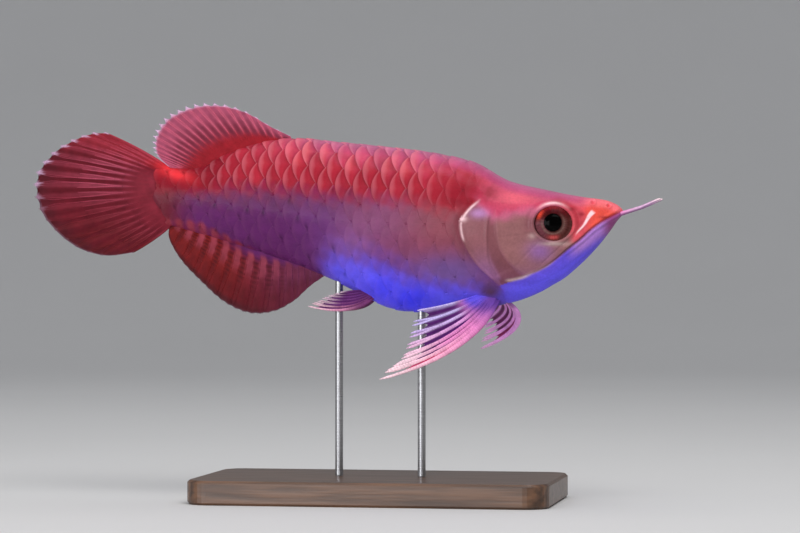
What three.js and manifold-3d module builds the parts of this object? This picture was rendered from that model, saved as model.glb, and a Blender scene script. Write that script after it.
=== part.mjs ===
// A short-bodied red Asian arowana about 300 mm long, swimming level with its fins spread, as a still
// display model on a flat base with two rods. Millimetres, +Z up, the head points along +X and the
// fish's right side faces -Y. The origin is the centre of the base's underside.
import * as THREE from "three";
import { mergeVertices } from "three/addons/utils/BufferGeometryUtils.js";
import Module from "manifold-3d";

const wasm = await Module();
wasm.setup();

// Driving sizes
const GAP = 0.3; // between neighbouring pieces
const FAR = 250; // reaches past the fish in any direction

// Profiles of the body along X, as [x, value] from the tail to the snout
const BACK_LINE = [
  [-125, 167.6], [-107, 166.9], [-97, 166.4], [-92, 167.2], [-85, 170.8], [-76, 174.8], [-67, 177.8],
  [-56.5, 180.2], [-44.7, 181.5], [-22.6, 179.4], [-1.7, 177.2], [20, 174.6], [38.6, 171.2], [47.3, 168.9],
  [53.9, 166], [59.8, 162.2], [65.5, 159.4], [73.2, 157.2], [82.7, 155.2], [92.3, 153.1], [101.8, 151.2],
  [113.2, 149.3], [118, 147.2], [122, 144.4],
];
const BELLY_LINE = [
  [-125, 138.2], [-107, 137.4], [-97, 134.8], [-82.6, 130.7], [-68.4, 126.2], [-52.5, 121.2], [-40.7, 117.3],
  [-28, 112], [-18.6, 107.8], [-10, 103.2], [-2, 99.2], [6.8, 95.8], [15, 94.6], [30.3, 94.1], [45, 94.9],
  [57, 97], [69.3, 99.9], [75.1, 101.9], [82.7, 105.4], [92.3, 111.8], [100.9, 119.2], [108.5, 127],
  [115.1, 135.3], [118.9, 140.6], [122, 143.2],
];
const FLANK_LINE = [
  [-125, 153], [-97, 151], [-50, 145], [0, 138.5], [45, 137.5], [86, 138.5], [108, 141.5], [122, 143.8],
];
const HALF_WIDTH = [
  [-125, 2.2], [-117.5, 3.3], [-108, 5.1], [-96, 7.2], [-71, 11.3], [-47, 14.9], [-26, 17], [-4, 18],
  [16, 18.3], [38, 18.1], [52, 17.4], [68, 15.7], [81, 13.9], [91, 12.2], [100.5, 10.2], [112.5, 6.8],
  [119, 4.2], [122, 2],
];
const UPPER_POWER = [[-125, 2], [0, 2.15], [50, 2.4], [88, 2.8], [122, 2.2]]; // 2 is an ellipse
const LOWER_POWER = [[-125, 1.9], [-20, 1.75], [48, 1.75], [88, 1.9], [122, 2.1]];
const HEAD_SPAN = { from: 34, to: 122, stations: 18 };
const TRUNK_SPAN = { from: -125, to: 74, stations: 36 };
const SECTION_SIDES = 28;

// The scales: a staggered net of large plates, each raised towards its free rear edge
const SCALES = {
  columns: 21,
  length: 9.7, // of the first column
  shortening: 0.03, // per column squared
  rise: 0.65, // at the rear edge
  slope: 0.02, // half the run of the rear edge, in scale lengths
  corner: 0.08, // what shows of a scale at its corners, in scale lengths
  rowsUp: 7, // above the flank line
  rowsDown: 7,
};
const ROW_HEIGHT = [[-125, 5.4], [-96, 6.1], [-50, 7.9], [0, 8.8], [122, 8.8]];

// Lines that part the body, as [x, z] seen from the side
const GILL_REAR = [
  [52.4, 150.3], [48.4, 146.6], [44.9, 142.4], [43.1, 138.4], [43.3, 134.4], [44.4, 129.6], [46.8, 124.2],
  [51, 117.6], [56.2, 112.2],
];
const GILL_EDGE = [
  [66, 176], [61, 167], [56.5, 158], ...GILL_REAR, [60, 108.6], [63.2, 105], [64.4, 100], [64.4, 88],
];
const MOUTH_LINE = [
  [129, 148], [122, 144.6], [114, 140.4], [107.4, 135.8], [101.5, 130.6], [96, 126.2], [90.8, 121.8],
  [85.5, 117.8], [79.5, 114.6], [72.9, 112], [67, 109.6], [64.6, 105],
];
const STALK_FRONT_X = -96.5;
const CAUDAL_BASE = [
  [-111.5, 173], [-114.2, 168.6], [-117.2, 164.4], [-117.4, 158.6], [-115.2, 151.5], [-112.2, 144.4],
  [-109.8, 138.3], [-109, 133],
];

// Gill covers: plates over the rear of the head
const GILL_COVER = {
  outline: [
    ...GILL_REAR, [60.4, 109.4], [66, 109.9], [72.6, 113], [68.6, 117.4], [64, 123.4], [61.4, 129.6],
    [60.4, 138], [57.4, 146],
  ],
  sunk: 2.6, // into the head
  proud: 0.7, // of the head
};

// Eyes, orbits, nostrils and lips
const EYE = { x: 88.6, z: 138.1, radius: 10.7, depth: 5.6, sunk: 2.9, turn: 10 };
const ORBIT = { radius: 9.9, thick: 1.1, sunk: 0.1 };
const NOSTRILS = [{ x: 115, z: 146.6, radius: 0.9 }, { x: 107.5, z: 148.2, radius: 1.1 }];
const LIP = { thick: 1, sunk: 0.1, from: 1, to: 7, stations: 9, sides: 5 }; // between two mouth points

// Barbels at the tip of the chin: root, bend and tip of the right one
const BARBEL = {
  root: [119, -2.3, 142.4], bend: [130, -4, 145.6], tip: [141, -5.6, 150.2],
  thick: 1.7, flatness: 0.72, taper: 0.45, point: 0.25, stations: 9, sides: 6,
};

// Fins: a thin web between thicker rays
const FIN = { webHalf: 0.28, rayHalf: 0.55, tipThinning: 0.28, rootShare: 0.3, sunk: 3 };

// Fins on the midline: where the base starts and ends, how far the margin sways to the left, how far the
// rays bow, and the tips of the rays as [x, z]
const DORSAL = {
  rays: 18, rows: 5, web: 0.95, rootHalf: 1.7, front: -45.5, rear: -97, sway: 1.6, bow: [0.1, 0],
  tips: [
    [-46.5, 183], [-57.2, 188.3], [-68.4, 195], [-78.9, 198.8], [-89.5, 200], [-100.1, 198.5],
    [-112.1, 192.4], [-117.6, 182.5], [-116.6, 174.6], [-110.1, 168.2],
  ],
};
const ANAL = {
  rays: 20, rows: 5, web: 0.95, rootHalf: 1.7, front: -29.5, rear: -107.5, sway: -1.6, bow: [0, -0.08],
  tips: [
    [-28.2, 112.4], [-35.9, 106.9], [-43.8, 99.6], [-54.1, 94.1], [-66.8, 93.1], [-79.4, 98.3],
    [-92.1, 109.2], [-103.3, 121.1], [-109, 131.8], [-108.9, 137.5],
  ],
};
const CAUDAL = {
  rays: 16, rows: 6, web: 0.95, sway: 5, bow: [0.06, -0.06],
  tips: [
    [-143, 185.4], [-150.3, 185.2], [-163, 180.9], [-173.8, 173.8], [-181.2, 163.4], [-181.4, 153],
    [-177.4, 143.5], [-167, 132.4], [-157, 126], [-142.9, 122.4], [-128.1, 124],
  ],
};

// Paired fins: root and bend of the first and the last ray, and the tips of the rays, each [x, y, z]
const PECTORAL_RIGHT = {
  rays: 8, rows: 6, web: 0.9, rootHalf: 1.5, lead: 1.6,
  first: { root: [60.5, -3.8, 102], bend: [51, -28, 73.6] },
  last: { root: [53, -5.5, 104], bend: [41, -20, 98] },
  tips: [
    [5.8, -35, 61.8], [8.9, -35, 65.6], [15.8, -34, 71], [18.2, -33, 75.5], [20, -32, 81],
    [20.9, -30.5, 86.5], [21.9, -28, 91.4], [23, -26, 95.4],
  ],
};
const PECTORAL_LEFT = {
  rays: 8, rows: 6, web: 0.9, rootHalf: 1.5, lead: 1.6,
  first: { root: [60.5, 3.8, 102], bend: [79, 27, 88.4] },
  last: { root: [53, 5.5, 104], bend: [60.5, 21, 100.5] },
  tips: [
    [41.3, 62, 74.3], [42.1, 60, 78.3], [44.2, 57, 82.1], [44.6, 52, 85.6], [44, 46, 88.8], [42, 40, 92],
  ],
};
const PELVIC_RIGHT = {
  rays: 6, rows: 4, web: 0.9, rootHalf: 1.5, lead: 1.3,
  first: { root: [-2, -3.4, 102.4], bend: [-12, -9.5, 91.4] },
  last: { root: [-7.5, -4, 105], bend: [-13, -9, 105] },
  tips: [
    [-34.5, -12, 97.3], [-32.4, -12.2, 98.8], [-29.4, -12.4, 100], [-25.9, -12.4, 102], [-18.3, -12, 104.1],
  ],
};

// Stand
const BASE = { length: 180, width: 96, height: 12, corner: 12, bevel: 1.2 };
const ROD = { radius: 2, sides: 20, apart: 42, sunk: 8 };

// Smooth value at x from a table of [x, value]: a cubic that doesn't overshoot between its points
function profile(table) {
  const slope = (i) => (table[i + 1][1] - table[i][1]) / (table[i + 1][0] - table[i][0]);
  const tangents = table.map((_, i) => {
    if (i === 0) return slope(0);
    if (i === table.length - 1) return slope(i - 1);
    const [before, after] = [slope(i - 1), slope(i)];
    return before * after <= 0 ? 0 : (2 * before * after) / (before + after);
  });
  return (x) => {
    const last = table.length - 2;
    let i = 0;
    while (i < last && x > table[i + 1][0]) i++;
    const step = table[i + 1][0] - table[i][0];
    const t = THREE.MathUtils.clamp((x - table[i][0]) / step, 0, 1);
    const [a, b] = [table[i][1], table[i + 1][1]];
    const [t2, t3] = [t * t, t * t * t];
    return a * (2 * t3 - 3 * t2 + 1) + b * (3 * t2 - 2 * t3)
      + step * (tangents[i] * (t3 - 2 * t2 + t) + tangents[i + 1] * (t3 - t2));
  };
}

const backAt = profile(BACK_LINE);
const bellyAt = profile(BELLY_LINE);
const flankAt = profile(FLANK_LINE);
const halfWidthAt = profile(HALF_WIDTH);
const upperPowerAt = profile(UPPER_POWER);
const lowerPowerAt = profile(LOWER_POWER);
const rowHeightAt = profile(ROW_HEIGHT);

// Solids from closed meshes, and back
function solidOf(geometry) {
  const bare = geometry.clone();
  bare.deleteAttribute("normal");
  bare.deleteAttribute("uv");
  const merged = mergeVertices(bare, 1e-4);
  const positions = merged.attributes.position.array;
  const triangles = new Uint32Array(merged.index.array);
  const mesh = { numProp: 3, vertProperties: positions, triVerts: triangles };
  const make = () => new wasm.Manifold(new wasm.Mesh(mesh));
  const solid = make();
  if (solid.volume() > 0) return solid;
  for (let i = 0; i < triangles.length; i += 3) {
    [triangles[i + 1], triangles[i + 2]] = [triangles[i + 2], triangles[i + 1]];
  }
  return make();
}

function geometryOf(solid) {
  const mesh = solid.getMesh();
  const positions = new Float32Array(mesh.numVert * 3);
  for (let i = 0; i < mesh.numVert; i++) {
    positions.set(mesh.vertProperties.subarray(i * mesh.numProp, i * mesh.numProp + 3), i * 3);
  }
  const geometry = new THREE.BufferGeometry();
  geometry.setAttribute("position", new THREE.BufferAttribute(positions, 3));
  geometry.setIndex(new THREE.BufferAttribute(new Uint32Array(mesh.triVerts), 1));
  return geometry;
}

function largest(solid) {
  return solid.decompose().reduce((best, piece) => (piece.volume() > best.volume() ? piece : best));
}

function mirrored(solid) {
  return solidOf(geometryOf(solid).scale(1, -1, 1));
}

// A closed mesh from rings of equally many points, with a fan over each end
function loft(rings) {
  const count = rings[0].length;
  const positions = rings.flat().flatMap((p) => [p.x, p.y, p.z]);
  const triangles = [];
  for (let r = 0; r + 1 < rings.length; r++) {
    for (let k = 0; k < count; k++) {
      const [a, b] = [r * count + k, r * count + ((k + 1) % count)];
      triangles.push(a, b, b + count, a, b + count, a + count);
    }
  }
  [rings[0], rings[rings.length - 1]].forEach((ring, end) => {
    const centre = ring.reduce((sum, p) => sum.add(p), new THREE.Vector3()).divideScalar(count);
    const hub = positions.length / 3;
    positions.push(centre.x, centre.y, centre.z);
    const start = end ? (rings.length - 1) * count : 0;
    for (let k = 0; k < count; k++) {
      const [a, b] = [start + k, start + ((k + 1) % count)];
      triangles.push(...(end ? [hub, a, b] : [hub, b, a]));
    }
  });
  const geometry = new THREE.BufferGeometry();
  geometry.setAttribute("position", new THREE.Float32BufferAttribute(positions, 3));
  geometry.setIndex(triangles);
  return geometry;
}

// A slab between two values of y whose outline, seen from the side, is a list of [x, z]
function slab(outline, yFrom = -FAR, yTo = FAR) {
  const shape = new THREE.Shape(outline.map(([x, z]) => new THREE.Vector2(x, z)));
  const block = new THREE.ExtrudeGeometry(shape, { depth: yTo - yFrom, bevelEnabled: false, steps: 1 });
  return solidOf(block.rotateX(Math.PI / 2).translate(0, yTo, 0));
}

// Curves through points of the side view and of space
function sideCurve(points, closed = false) {
  const inSpace = points.map(([x, z]) => new THREE.Vector3(x, 0, z));
  return new THREE.CatmullRomCurve3(inSpace, closed, "centripetal");
}

function spaceCurve(points) {
  return new THREE.CatmullRomCurve3(points.map((p) => new THREE.Vector3(...p)), false, "centripetal");
}

function smooth(points, count, closed = false) {
  const spaced = sideCurve(points, closed).getSpacedPoints(count).map((p) => [p.x, p.z]);
  return closed ? spaced.slice(0, -1) : spaced;
}

// A closed outline moved out by a distance, along the mean normal at each point
function grown(outline, distance) {
  const area = THREE.ShapeUtils.area(outline.map(([x, z]) => new THREE.Vector2(x, z)));
  const out = distance * Math.sign(area);
  return outline.map(([x, z], i) => {
    const [px, pz] = outline[(i + outline.length - 1) % outline.length];
    const [nx, nz] = outline[(i + 1) % outline.length];
    const length = Math.hypot(nx - px, nz - pz);
    return [x + (out * (nz - pz)) / length, z - (out * (nx - px)) / length];
  });
}

// A point of the body's cross-section, from -90 degrees at the belly to 90 at the back
function sectionPoint(x, angle) {
  const up = angle >= 0;
  const power = up ? upperPowerAt(x) : lowerPowerAt(x);
  const reach = up ? backAt(x) - flankAt(x) : flankAt(x) - bellyAt(x);
  const [c, s] = [Math.max(0, Math.cos(angle)), Math.abs(Math.sin(angle))];
  const y = halfWidthAt(x) * c ** (2 / power);
  return [y, flankAt(x) + (up ? 1 : -1) * reach * s ** (2 / power)];
}

// Half thickness of the body at a point seen from the side
function bodyHalfAt(x, z) {
  const up = z >= flankAt(x);
  const power = up ? upperPowerAt(x) : lowerPowerAt(x);
  const reach = up ? backAt(x) - flankAt(x) : flankAt(x) - bellyAt(x);
  const share = Math.min(1, Math.abs(z - flankAt(x)) / reach);
  return halfWidthAt(x) * (1 - share ** power) ** (1 / power);
}

// Points round one half from the belly to the back, with their distance along the skin
const SECTION_STEPS = 64;

function girth(x) {
  const points = [];
  let along = 0;
  for (let i = 0; i <= SECTION_STEPS; i++) {
    const [y, z] = sectionPoint(x, (i / SECTION_STEPS - 0.5) * Math.PI);
    if (i) along += Math.hypot(y - points[i - 1].y, z - points[i - 1].z);
    points.push({ y, z, along });
  }
  return points;
}

// A point of the skin at a distance from the flank line, up over the back or down under the belly
function skinAt(x, distance, out) {
  const points = girth(x);
  const flank = points[SECTION_STEPS / 2].along;
  const total = points[SECTION_STEPS].along;
  let along = flank + distance;
  const past = along < 0 || along > total;
  if (along < 0) along = -along;
  if (along > total) along = 2 * total - along;
  let i = 0;
  while (i < SECTION_STEPS - 1 && points[i + 1].along < along) i++;
  const [a, b] = [points[i], points[i + 1]];
  const t = (along - a.along) / Math.max(1e-9, b.along - a.along);
  const length = Math.hypot(b.y - a.y, b.z - a.z) || 1;
  const y = a.y + (b.y - a.y) * t + (out * (b.z - a.z)) / length;
  const z = a.z + (b.z - a.z) * t - (out * (b.y - a.y)) / length;
  return new THREE.Vector3(x, past ? y : -y, z);
}

// Distance from the flank line of a row of scales; rows past the midline only close the far side
function rowDistance(row, x) {
  const points = girth(x);
  const flank = points[SECTION_STEPS / 2].along;
  const half = row >= 0 ? points[SECTION_STEPS].along - flank : flank;
  const rows = row >= 0 ? SCALES.rowsUp : SCALES.rowsDown;
  const height = rowHeightAt(x);
  const straight = Math.min(rows - 1, half / height + 0.5);
  const r = Math.abs(row);
  const distance = r <= straight
    ? r * height
    : THREE.MathUtils.mapLinear(r, straight, rows, straight * height, 2 * half);
  return Math.sign(row) * distance;
}

// Where a column's zigzag rear edge lies at a row, in scale lengths from the front
function edgeAt(column, row) {
  const below = Math.floor(row);
  const t = row - below;
  const across = (column + below) % 2 === 0 ? t : 1 - t;
  return column / 2 - (0.5 - SCALES.corner) * across * across;
}

function scaleX(lengths) {
  return TRUNK_SPAN.to - SCALES.length * lengths + SCALES.shortening * lengths * lengths;
}

// A ring of points along one column's edge: the raised rear edges, or the skin just behind them
function scaleRing(column, raised) {
  const ring = [];
  for (let step = -2 * SCALES.rowsDown; step < 2 * SCALES.rowsUp; step++) {
    const row = step / 2;
    const edge = edgeAt(column, row);
    const before = column ? edgeAt(column - 1, row) : edge - 0.5;
    const shown = Math.max(0, edge - before - SCALES.corner) / (1 - 2 * SCALES.corner);
    const x = scaleX(edge + (raised ? -SCALES.slope : SCALES.slope));
    ring.push(skinAt(x, rowDistance(row, x), raised ? SCALES.rise * shown : 0));
  }
  return ring;
}

// The scaled body, from under the gill covers to past the tail's root
function scaledBody() {
  const rings = [];
  for (let column = 0; column <= 2 * SCALES.columns; column++) {
    rings.push(scaleRing(column, true), scaleRing(column, false));
  }
  const rightSide = slab([[-FAR, 0], [FAR, 0], [FAR, FAR], [-FAR, FAR]], -FAR, 0);
  const right = solidOf(loft(rings)).intersect(rightSide);
  return right.add(mirrored(right));
}

// A smooth length of the body: rings of equally many points, moved out along the skin by an offset
function smoothBody({ from, to, stations, spacing }, offset = 0) {
  const rings = Array.from({ length: stations + 1 }, (_, i) => {
    const x = THREE.MathUtils.lerp(from, to, spacing(i / stations));
    const flat = Array.from({ length: SECTION_SIDES }, (_, k) => {
      const angle = (k / SECTION_SIDES) * 2 * Math.PI;
      const [y, z] = sectionPoint(x, Math.asin(Math.sin(angle)));
      return new THREE.Vector2(Math.cos(angle) > 0 ? y : -y, z);
    });
    return flat.map((p, k) => {
      const next = flat[(k + 1) % SECTION_SIDES];
      const before = flat[(k + SECTION_SIDES - 1) % SECTION_SIDES];
      const along = next.clone().sub(before).normalize();
      return new THREE.Vector3(x, p.x + offset * along.y, p.y - offset * along.x);
    });
  });
  return solidOf(loft(rings));
}

function smoothHead(offset = 0) {
  return smoothBody({ ...HEAD_SPAN, spacing: (t) => Math.sin((t * Math.PI) / 2) }, offset);
}

function smoothTrunk(offset = 0) {
  return smoothBody({ ...TRUNK_SPAN, spacing: (t) => t }, offset);
}

// Regions that part the body, each with a shift of its edge
function headRegion(shift = 0) {
  const edge = smooth(GILL_EDGE, 18).map(([x, z]) => [x + shift, z]);
  return slab([...edge, [FAR, edge.at(-1)[1]], [FAR, edge[0][1]]]);
}

function jawRegion(shift = 0) {
  const line = smooth(MOUTH_LINE, 18).map(([x, z]) => [x, z + shift]);
  return slab([...line, [line.at(-1)[0], 0], [line[0][0], 0]]);
}

function behind(x) {
  return slab([[-FAR, 0], [x, 0], [x, FAR], [-FAR, FAR]]);
}

function caudalRegion(shift = 0) {
  const line = smooth(CAUDAL_BASE, 10).map(([x, z]) => [x + shift, z]);
  return slab([...line, [-FAR, line.at(-1)[1]], [-FAR, line[0][1]]]);
}

// Eyes, set in the head's side and turned a little forward
function placeOnHead(geometry, { x, z }, sunk, side) {
  const turn = THREE.MathUtils.degToRad(EYE.turn);
  geometry.rotateZ(side * -turn);
  return geometry.translate(x, side * (bodyHalfAt(x, z) - sunk), z);
}

function eyeball(side, grow = 0) {
  const ball = new THREE.SphereGeometry(1, 16, 10).rotateX(Math.PI / 2);
  ball.scale(EYE.radius + grow, EYE.depth + grow, EYE.radius + grow);
  return solidOf(placeOnHead(ball, EYE, EYE.sunk, side));
}

function orbit(side) {
  const ring = new THREE.TorusGeometry(ORBIT.radius, ORBIT.thick, 5, 18).rotateX(Math.PI / 2);
  return solidOf(placeOnHead(ring, EYE, ORBIT.sunk, side));
}

function nostril({ x, z, radius }, side) {
  const pit = new THREE.SphereGeometry(radius, 6, 5);
  return solidOf(pit.translate(x, side * bodyHalfAt(x, z), z));
}

// A rounded lip along one side of the mouth, above or below its line
function lip(above, side) {
  const line = smooth(MOUTH_LINE.slice(LIP.from, LIP.to), LIP.stations);
  const rings = line.map(([x, z], i) => {
    const y = Math.max(0, bodyHalfAt(x, z) - (i ? LIP.sunk : LIP.thick));
    const thick = LIP.thick * (1 - 0.5 * (i / LIP.stations) ** 3);
    return Array.from({ length: LIP.sides }, (_, k) => {
      const angle = (k / LIP.sides) * 2 * Math.PI;
      const [out, up] = [Math.sin(angle) * thick, Math.cos(angle) * thick];
      return new THREE.Vector3(x - GAP - 0.6 * up, side * (y + out), z + above * LIP.thick + up);
    });
  });
  return solidOf(loft(rings));
}

function head(coverRooms) {
  let solid = smoothHead();
  for (const side of [-1, 1]) solid = solid.add(orbit(side)).add(lip(1, side));
  solid = solid.intersect(headRegion()).subtract(jawRegion(GAP / 2)).subtract(coverRooms);
  for (const side of [-1, 1]) {
    solid = solid.subtract(eyeball(side, GAP));
    for (const place of NOSTRILS) solid = solid.subtract(nostril(place, side));
  }
  return solid;
}

function lowerJaw(coverRooms) {
  let solid = smoothHead();
  for (const side of [-1, 1]) solid = solid.add(lip(-1, side));
  return solid.intersect(headRegion()).intersect(jawRegion(-GAP / 2)).subtract(coverRooms);
}

const coverOutline = smooth(GILL_COVER.outline, 28, true);

function gillCover(side) {
  const plate = slab(coverOutline, side < 0 ? -FAR : 0, side < 0 ? 0 : FAR);
  return smoothHead(GILL_COVER.proud).intersect(plate).subtract(smoothHead(-GILL_COVER.sunk));
}

function gillCoverRooms() {
  return slab(grown(coverOutline, GAP)).subtract(smoothHead(-GILL_COVER.sunk - GAP));
}

// A closed vane over a grid of columns and rows: middle surface, half thickness and side direction
function vane(columns, rows, middleAt, halfAt, sideAt) {
  const positions = [];
  for (const face of [-1, 1]) {
    for (let c = 0; c <= columns; c++) {
      for (let r = 0; r <= rows; r++) {
        const p = middleAt(c, r).addScaledVector(sideAt(c, r), face * halfAt(c, r));
        positions.push(p.x, p.y, p.z);
      }
    }
  }
  const faceSize = (columns + 1) * (rows + 1);
  const at = (c, r) => c * (rows + 1) + r;
  const triangles = [];
  for (let c = 0; c < columns; c++) {
    for (let r = 0; r < rows; r++) {
      const [a, b, d, e] = [at(c, r), at(c + 1, r), at(c + 1, r + 1), at(c, r + 1)];
      triangles.push(a, b, d, a, d, e);
      triangles.push(...[a, d, b, a, e, d].map((i) => i + faceSize));
    }
  }
  const rim = [];
  for (let c = 0; c < columns; c++) rim.push(at(c, 0));
  for (let r = 0; r < rows; r++) rim.push(at(columns, r));
  for (let c = columns; c > 0; c--) rim.push(at(c, rows));
  for (let r = rows; r > 0; r--) rim.push(at(0, r));
  rim.forEach((a, i) => {
    const b = rim[(i + 1) % rim.length];
    triangles.push(a, a + faceSize, b + faceSize, a, b + faceSize, b);
  });
  const geometry = new THREE.BufferGeometry();
  geometry.setAttribute("position", new THREE.Float32BufferAttribute(positions, 3));
  geometry.setIndex(triangles);
  return solidOf(geometry);
}

// A fin of rays, each along its own curve, with the web between them stopping short of their tips
function fin({ rays, rows, web, curveAt, rootHalfAt, sideAt, lead = 1 }) {
  const columns = 2 * (rays - 1);
  const curves = Array.from({ length: columns + 1 }, (_, c) => curveAt(c / columns));
  const isWeb = (c) => c % 2 === 1;
  const middleAt = (c, r) => curves[c].getPoint((r / rows) * (isWeb(c) ? web : 1));
  const halfAt = (c, r) => {
    const s = r / rows;
    const ray = FIN.rayHalf * (c ? 1 : lead) * (1 - FIN.tipThinning * s);
    const fromRoot = Math.max(0, 1 - s / FIN.rootShare) ** 2;
    return THREE.MathUtils.lerp(isWeb(c) ? FIN.webHalf : ray, rootHalfAt(curves[c].getPoint(0)), fromRoot);
  };
  const side = sideAt ?? ((c, r) => {
    const along = middleAt(c, Math.min(rows, r + 1)).sub(middleAt(c, Math.max(0, r - 1)));
    const across = middleAt(Math.min(columns, c + 1), r).sub(middleAt(Math.max(0, c - 1), r));
    return along.cross(across).normalize();
  });
  return vane(columns, rows, middleAt, halfAt, side);
}

// A fin on the midline, with its base along a curve
function midlineFin(shape, baseAt, rootHalfAt = () => shape.rootHalf) {
  const tipCurve = sideCurve(shape.tips);
  const curveAt = (f) => {
    const [root, tip] = [baseAt(f), tipCurve.getPointAt(f)];
    const bow = THREE.MathUtils.lerp(shape.bow[0], shape.bow[1], f);
    const across = new THREE.Vector3(tip.z - root.z, 0, root.x - tip.x).multiplyScalar(bow);
    const middle = root.clone().lerp(tip, 0.5).add(across);
    tip.y = shape.sway * Math.sin(f * Math.PI);
    return new THREE.QuadraticBezierCurve3(root, middle, tip);
  };
  return fin({ ...shape, curveAt, rootHalfAt, sideAt: () => new THREE.Vector3(0, 1, 0) });
}

function alongProfile(profileAt, { front, rear }, sunk) {
  return (f) => {
    const x = THREE.MathUtils.lerp(front, rear, f);
    return new THREE.Vector3(x, 0, profileAt(x) + sunk);
  };
}

// A fin that fans in space from a short root
function pairedFin(shape) {
  const { first, last } = shape;
  const tipCurve = spaceCurve(shape.tips);
  const between = (a, b, f) => new THREE.Vector3(...a).lerp(new THREE.Vector3(...b), f);
  const curveAt = (f) => new THREE.QuadraticBezierCurve3(
    between(first.root, last.root, f),
    between(first.bend, last.bend, f),
    tipCurve.getPointAt(f),
  );
  return fin({ ...shape, curveAt, rootHalfAt: () => shape.rootHalf });
}

// A tapered feeler, oval in section
function barbel(side) {
  const { thick, flatness, taper, point, stations, sides } = BARBEL;
  const [root, bend, tip] = [BARBEL.root, BARBEL.bend, BARBEL.tip]
    .map(([x, y, z]) => new THREE.Vector3(x, -side * y, z));
  const curve = new THREE.QuadraticBezierCurve3(root, bend, tip);
  const rings = Array.from({ length: stations }, (_, i) => {
    const t = i / (stations - 1);
    const centre = curve.getPoint(t);
    const up = new THREE.Vector3(0, 1, 0).cross(curve.getTangent(t)).normalize();
    const across = up.clone().cross(curve.getTangent(t));
    const half = 0.5 * thick * (t < 1 ? 1 - taper * t : point);
    return Array.from({ length: sides }, (_, k) => {
      const angle = (k / sides) * 2 * Math.PI;
      return centre.clone()
        .addScaledVector(up, half * Math.cos(angle))
        .addScaledVector(across, half * flatness * Math.sin(angle));
    });
  });
  return solidOf(loft(rings));
}

// Stand
function roundedRectangle(length, width, corner) {
  const shape = new THREE.Shape();
  const [x, y] = [length / 2, width / 2];
  shape.moveTo(-x + corner, -y);
  shape.lineTo(x - corner, -y);
  shape.absarc(x - corner, -y + corner, corner, -Math.PI / 2, 0, false);
  shape.lineTo(x, y - corner);
  shape.absarc(x - corner, y - corner, corner, 0, Math.PI / 2, false);
  shape.lineTo(-x + corner, y);
  shape.absarc(-x + corner, y - corner, corner, Math.PI / 2, Math.PI, false);
  shape.lineTo(-x, -y + corner);
  shape.absarc(-x + corner, -y + corner, corner, Math.PI, 1.5 * Math.PI, false);
  return shape;
}

function standBase() {
  const { length, width, height, corner, bevel } = BASE;
  const top = roundedRectangle(length - 2 * bevel, width - 2 * bevel, corner - bevel);
  const block = new THREE.ExtrudeGeometry(top, {
    depth: height - 2 * bevel,
    bevelEnabled: true,
    bevelThickness: bevel,
    bevelSize: bevel,
    bevelSegments: 1,
    curveSegments: 4,
  });
  return solidOf(block.translate(0, 0, bevel));
}

function standRod(x, grow = 0) {
  const foot = BASE.height + GAP;
  const top = bellyAt(x) + ROD.sunk + grow;
  const rod = new THREE.CylinderGeometry(ROD.radius + grow, ROD.radius + grow, top - foot, ROD.sides);
  return solidOf(rod.rotateX(Math.PI / 2).translate(x, 0, (top + foot) / 2));
}

// The body and its stand
const rodFront = ROD.apart / 2;
const rodRear = -ROD.apart / 2;
const scaled = scaledBody();
const trunk = scaled
  .subtract(headRegion(-GAP))
  .subtract(behind(STALK_FRONT_X + GAP / 2))
  .subtract(standRod(rodFront, GAP))
  .subtract(standRod(rodRear, GAP));
const stalk = scaled.intersect(behind(STALK_FRONT_X - GAP / 2)).subtract(caudalRegion(GAP / 2));

// The fins, cut clear of the body that carries them
const bodyRoom = smoothTrunk(SCALES.rise + GAP)
  .subtract(headRegion(-GAP))
  .add(smoothHead(GILL_COVER.proud + GAP).intersect(headRegion(-GAP)));
const caudalRoot = sideCurve(CAUDAL_BASE.slice(1, -1).map(([x, z]) => [x - GAP / 2, z]));
const caudal = midlineFin(
  CAUDAL,
  (f) => caudalRoot.getPointAt(f),
  (root) => Math.max(1, bodyHalfAt(root.x, root.z)),
);
const dorsal = midlineFin(DORSAL, alongProfile(backAt, DORSAL, -FIN.sunk)).subtract(bodyRoom);
const anal = midlineFin(ANAL, alongProfile(bellyAt, ANAL, FIN.sunk)).subtract(bodyRoom);
const pectoralRight = pairedFin(PECTORAL_RIGHT).subtract(bodyRoom);
const pectoralLeft = pairedFin(PECTORAL_LEFT).subtract(bodyRoom);
const pelvicRight = pairedFin(PELVIC_RIGHT).subtract(bodyRoom);

// The head's pieces
const coverRooms = gillCoverRooms();
const barbelRoom = smoothHead(GAP).add(lip(-1, -1)).add(lip(-1, 1));

const materials = {
  red: new THREE.MeshStandardMaterial({ color: 0xb8343a, roughness: 0.35, metalness: 0.1 }),
  cheek: new THREE.MeshStandardMaterial({ color: 0xa87468, roughness: 0.3, metalness: 0.2 }),
  violet: new THREE.MeshStandardMaterial({ color: 0x6a55b8, roughness: 0.35, metalness: 0.1 }),
  fin: new THREE.MeshStandardMaterial({ color: 0x9c2f38, roughness: 0.45, metalness: 0 }),
  paleFin: new THREE.MeshStandardMaterial({ color: 0xd88aa8, roughness: 0.45, metalness: 0 }),
  eye: new THREE.MeshStandardMaterial({ color: 0x3a2a28, roughness: 0.05, metalness: 0 }),
  steel: new THREE.MeshStandardMaterial({ color: 0xa6a8aa, roughness: 0.3, metalness: 1 }),
  wood: new THREE.MeshStandardMaterial({ color: 0x2a2220, roughness: 0.5, metalness: 0 }),
};

const fish = new THREE.Group();

function put(name, solid, material) {
  const mesh = new THREE.Mesh(geometryOf(largest(solid)), material);
  mesh.name = name;
  fish.add(mesh);
}

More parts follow.
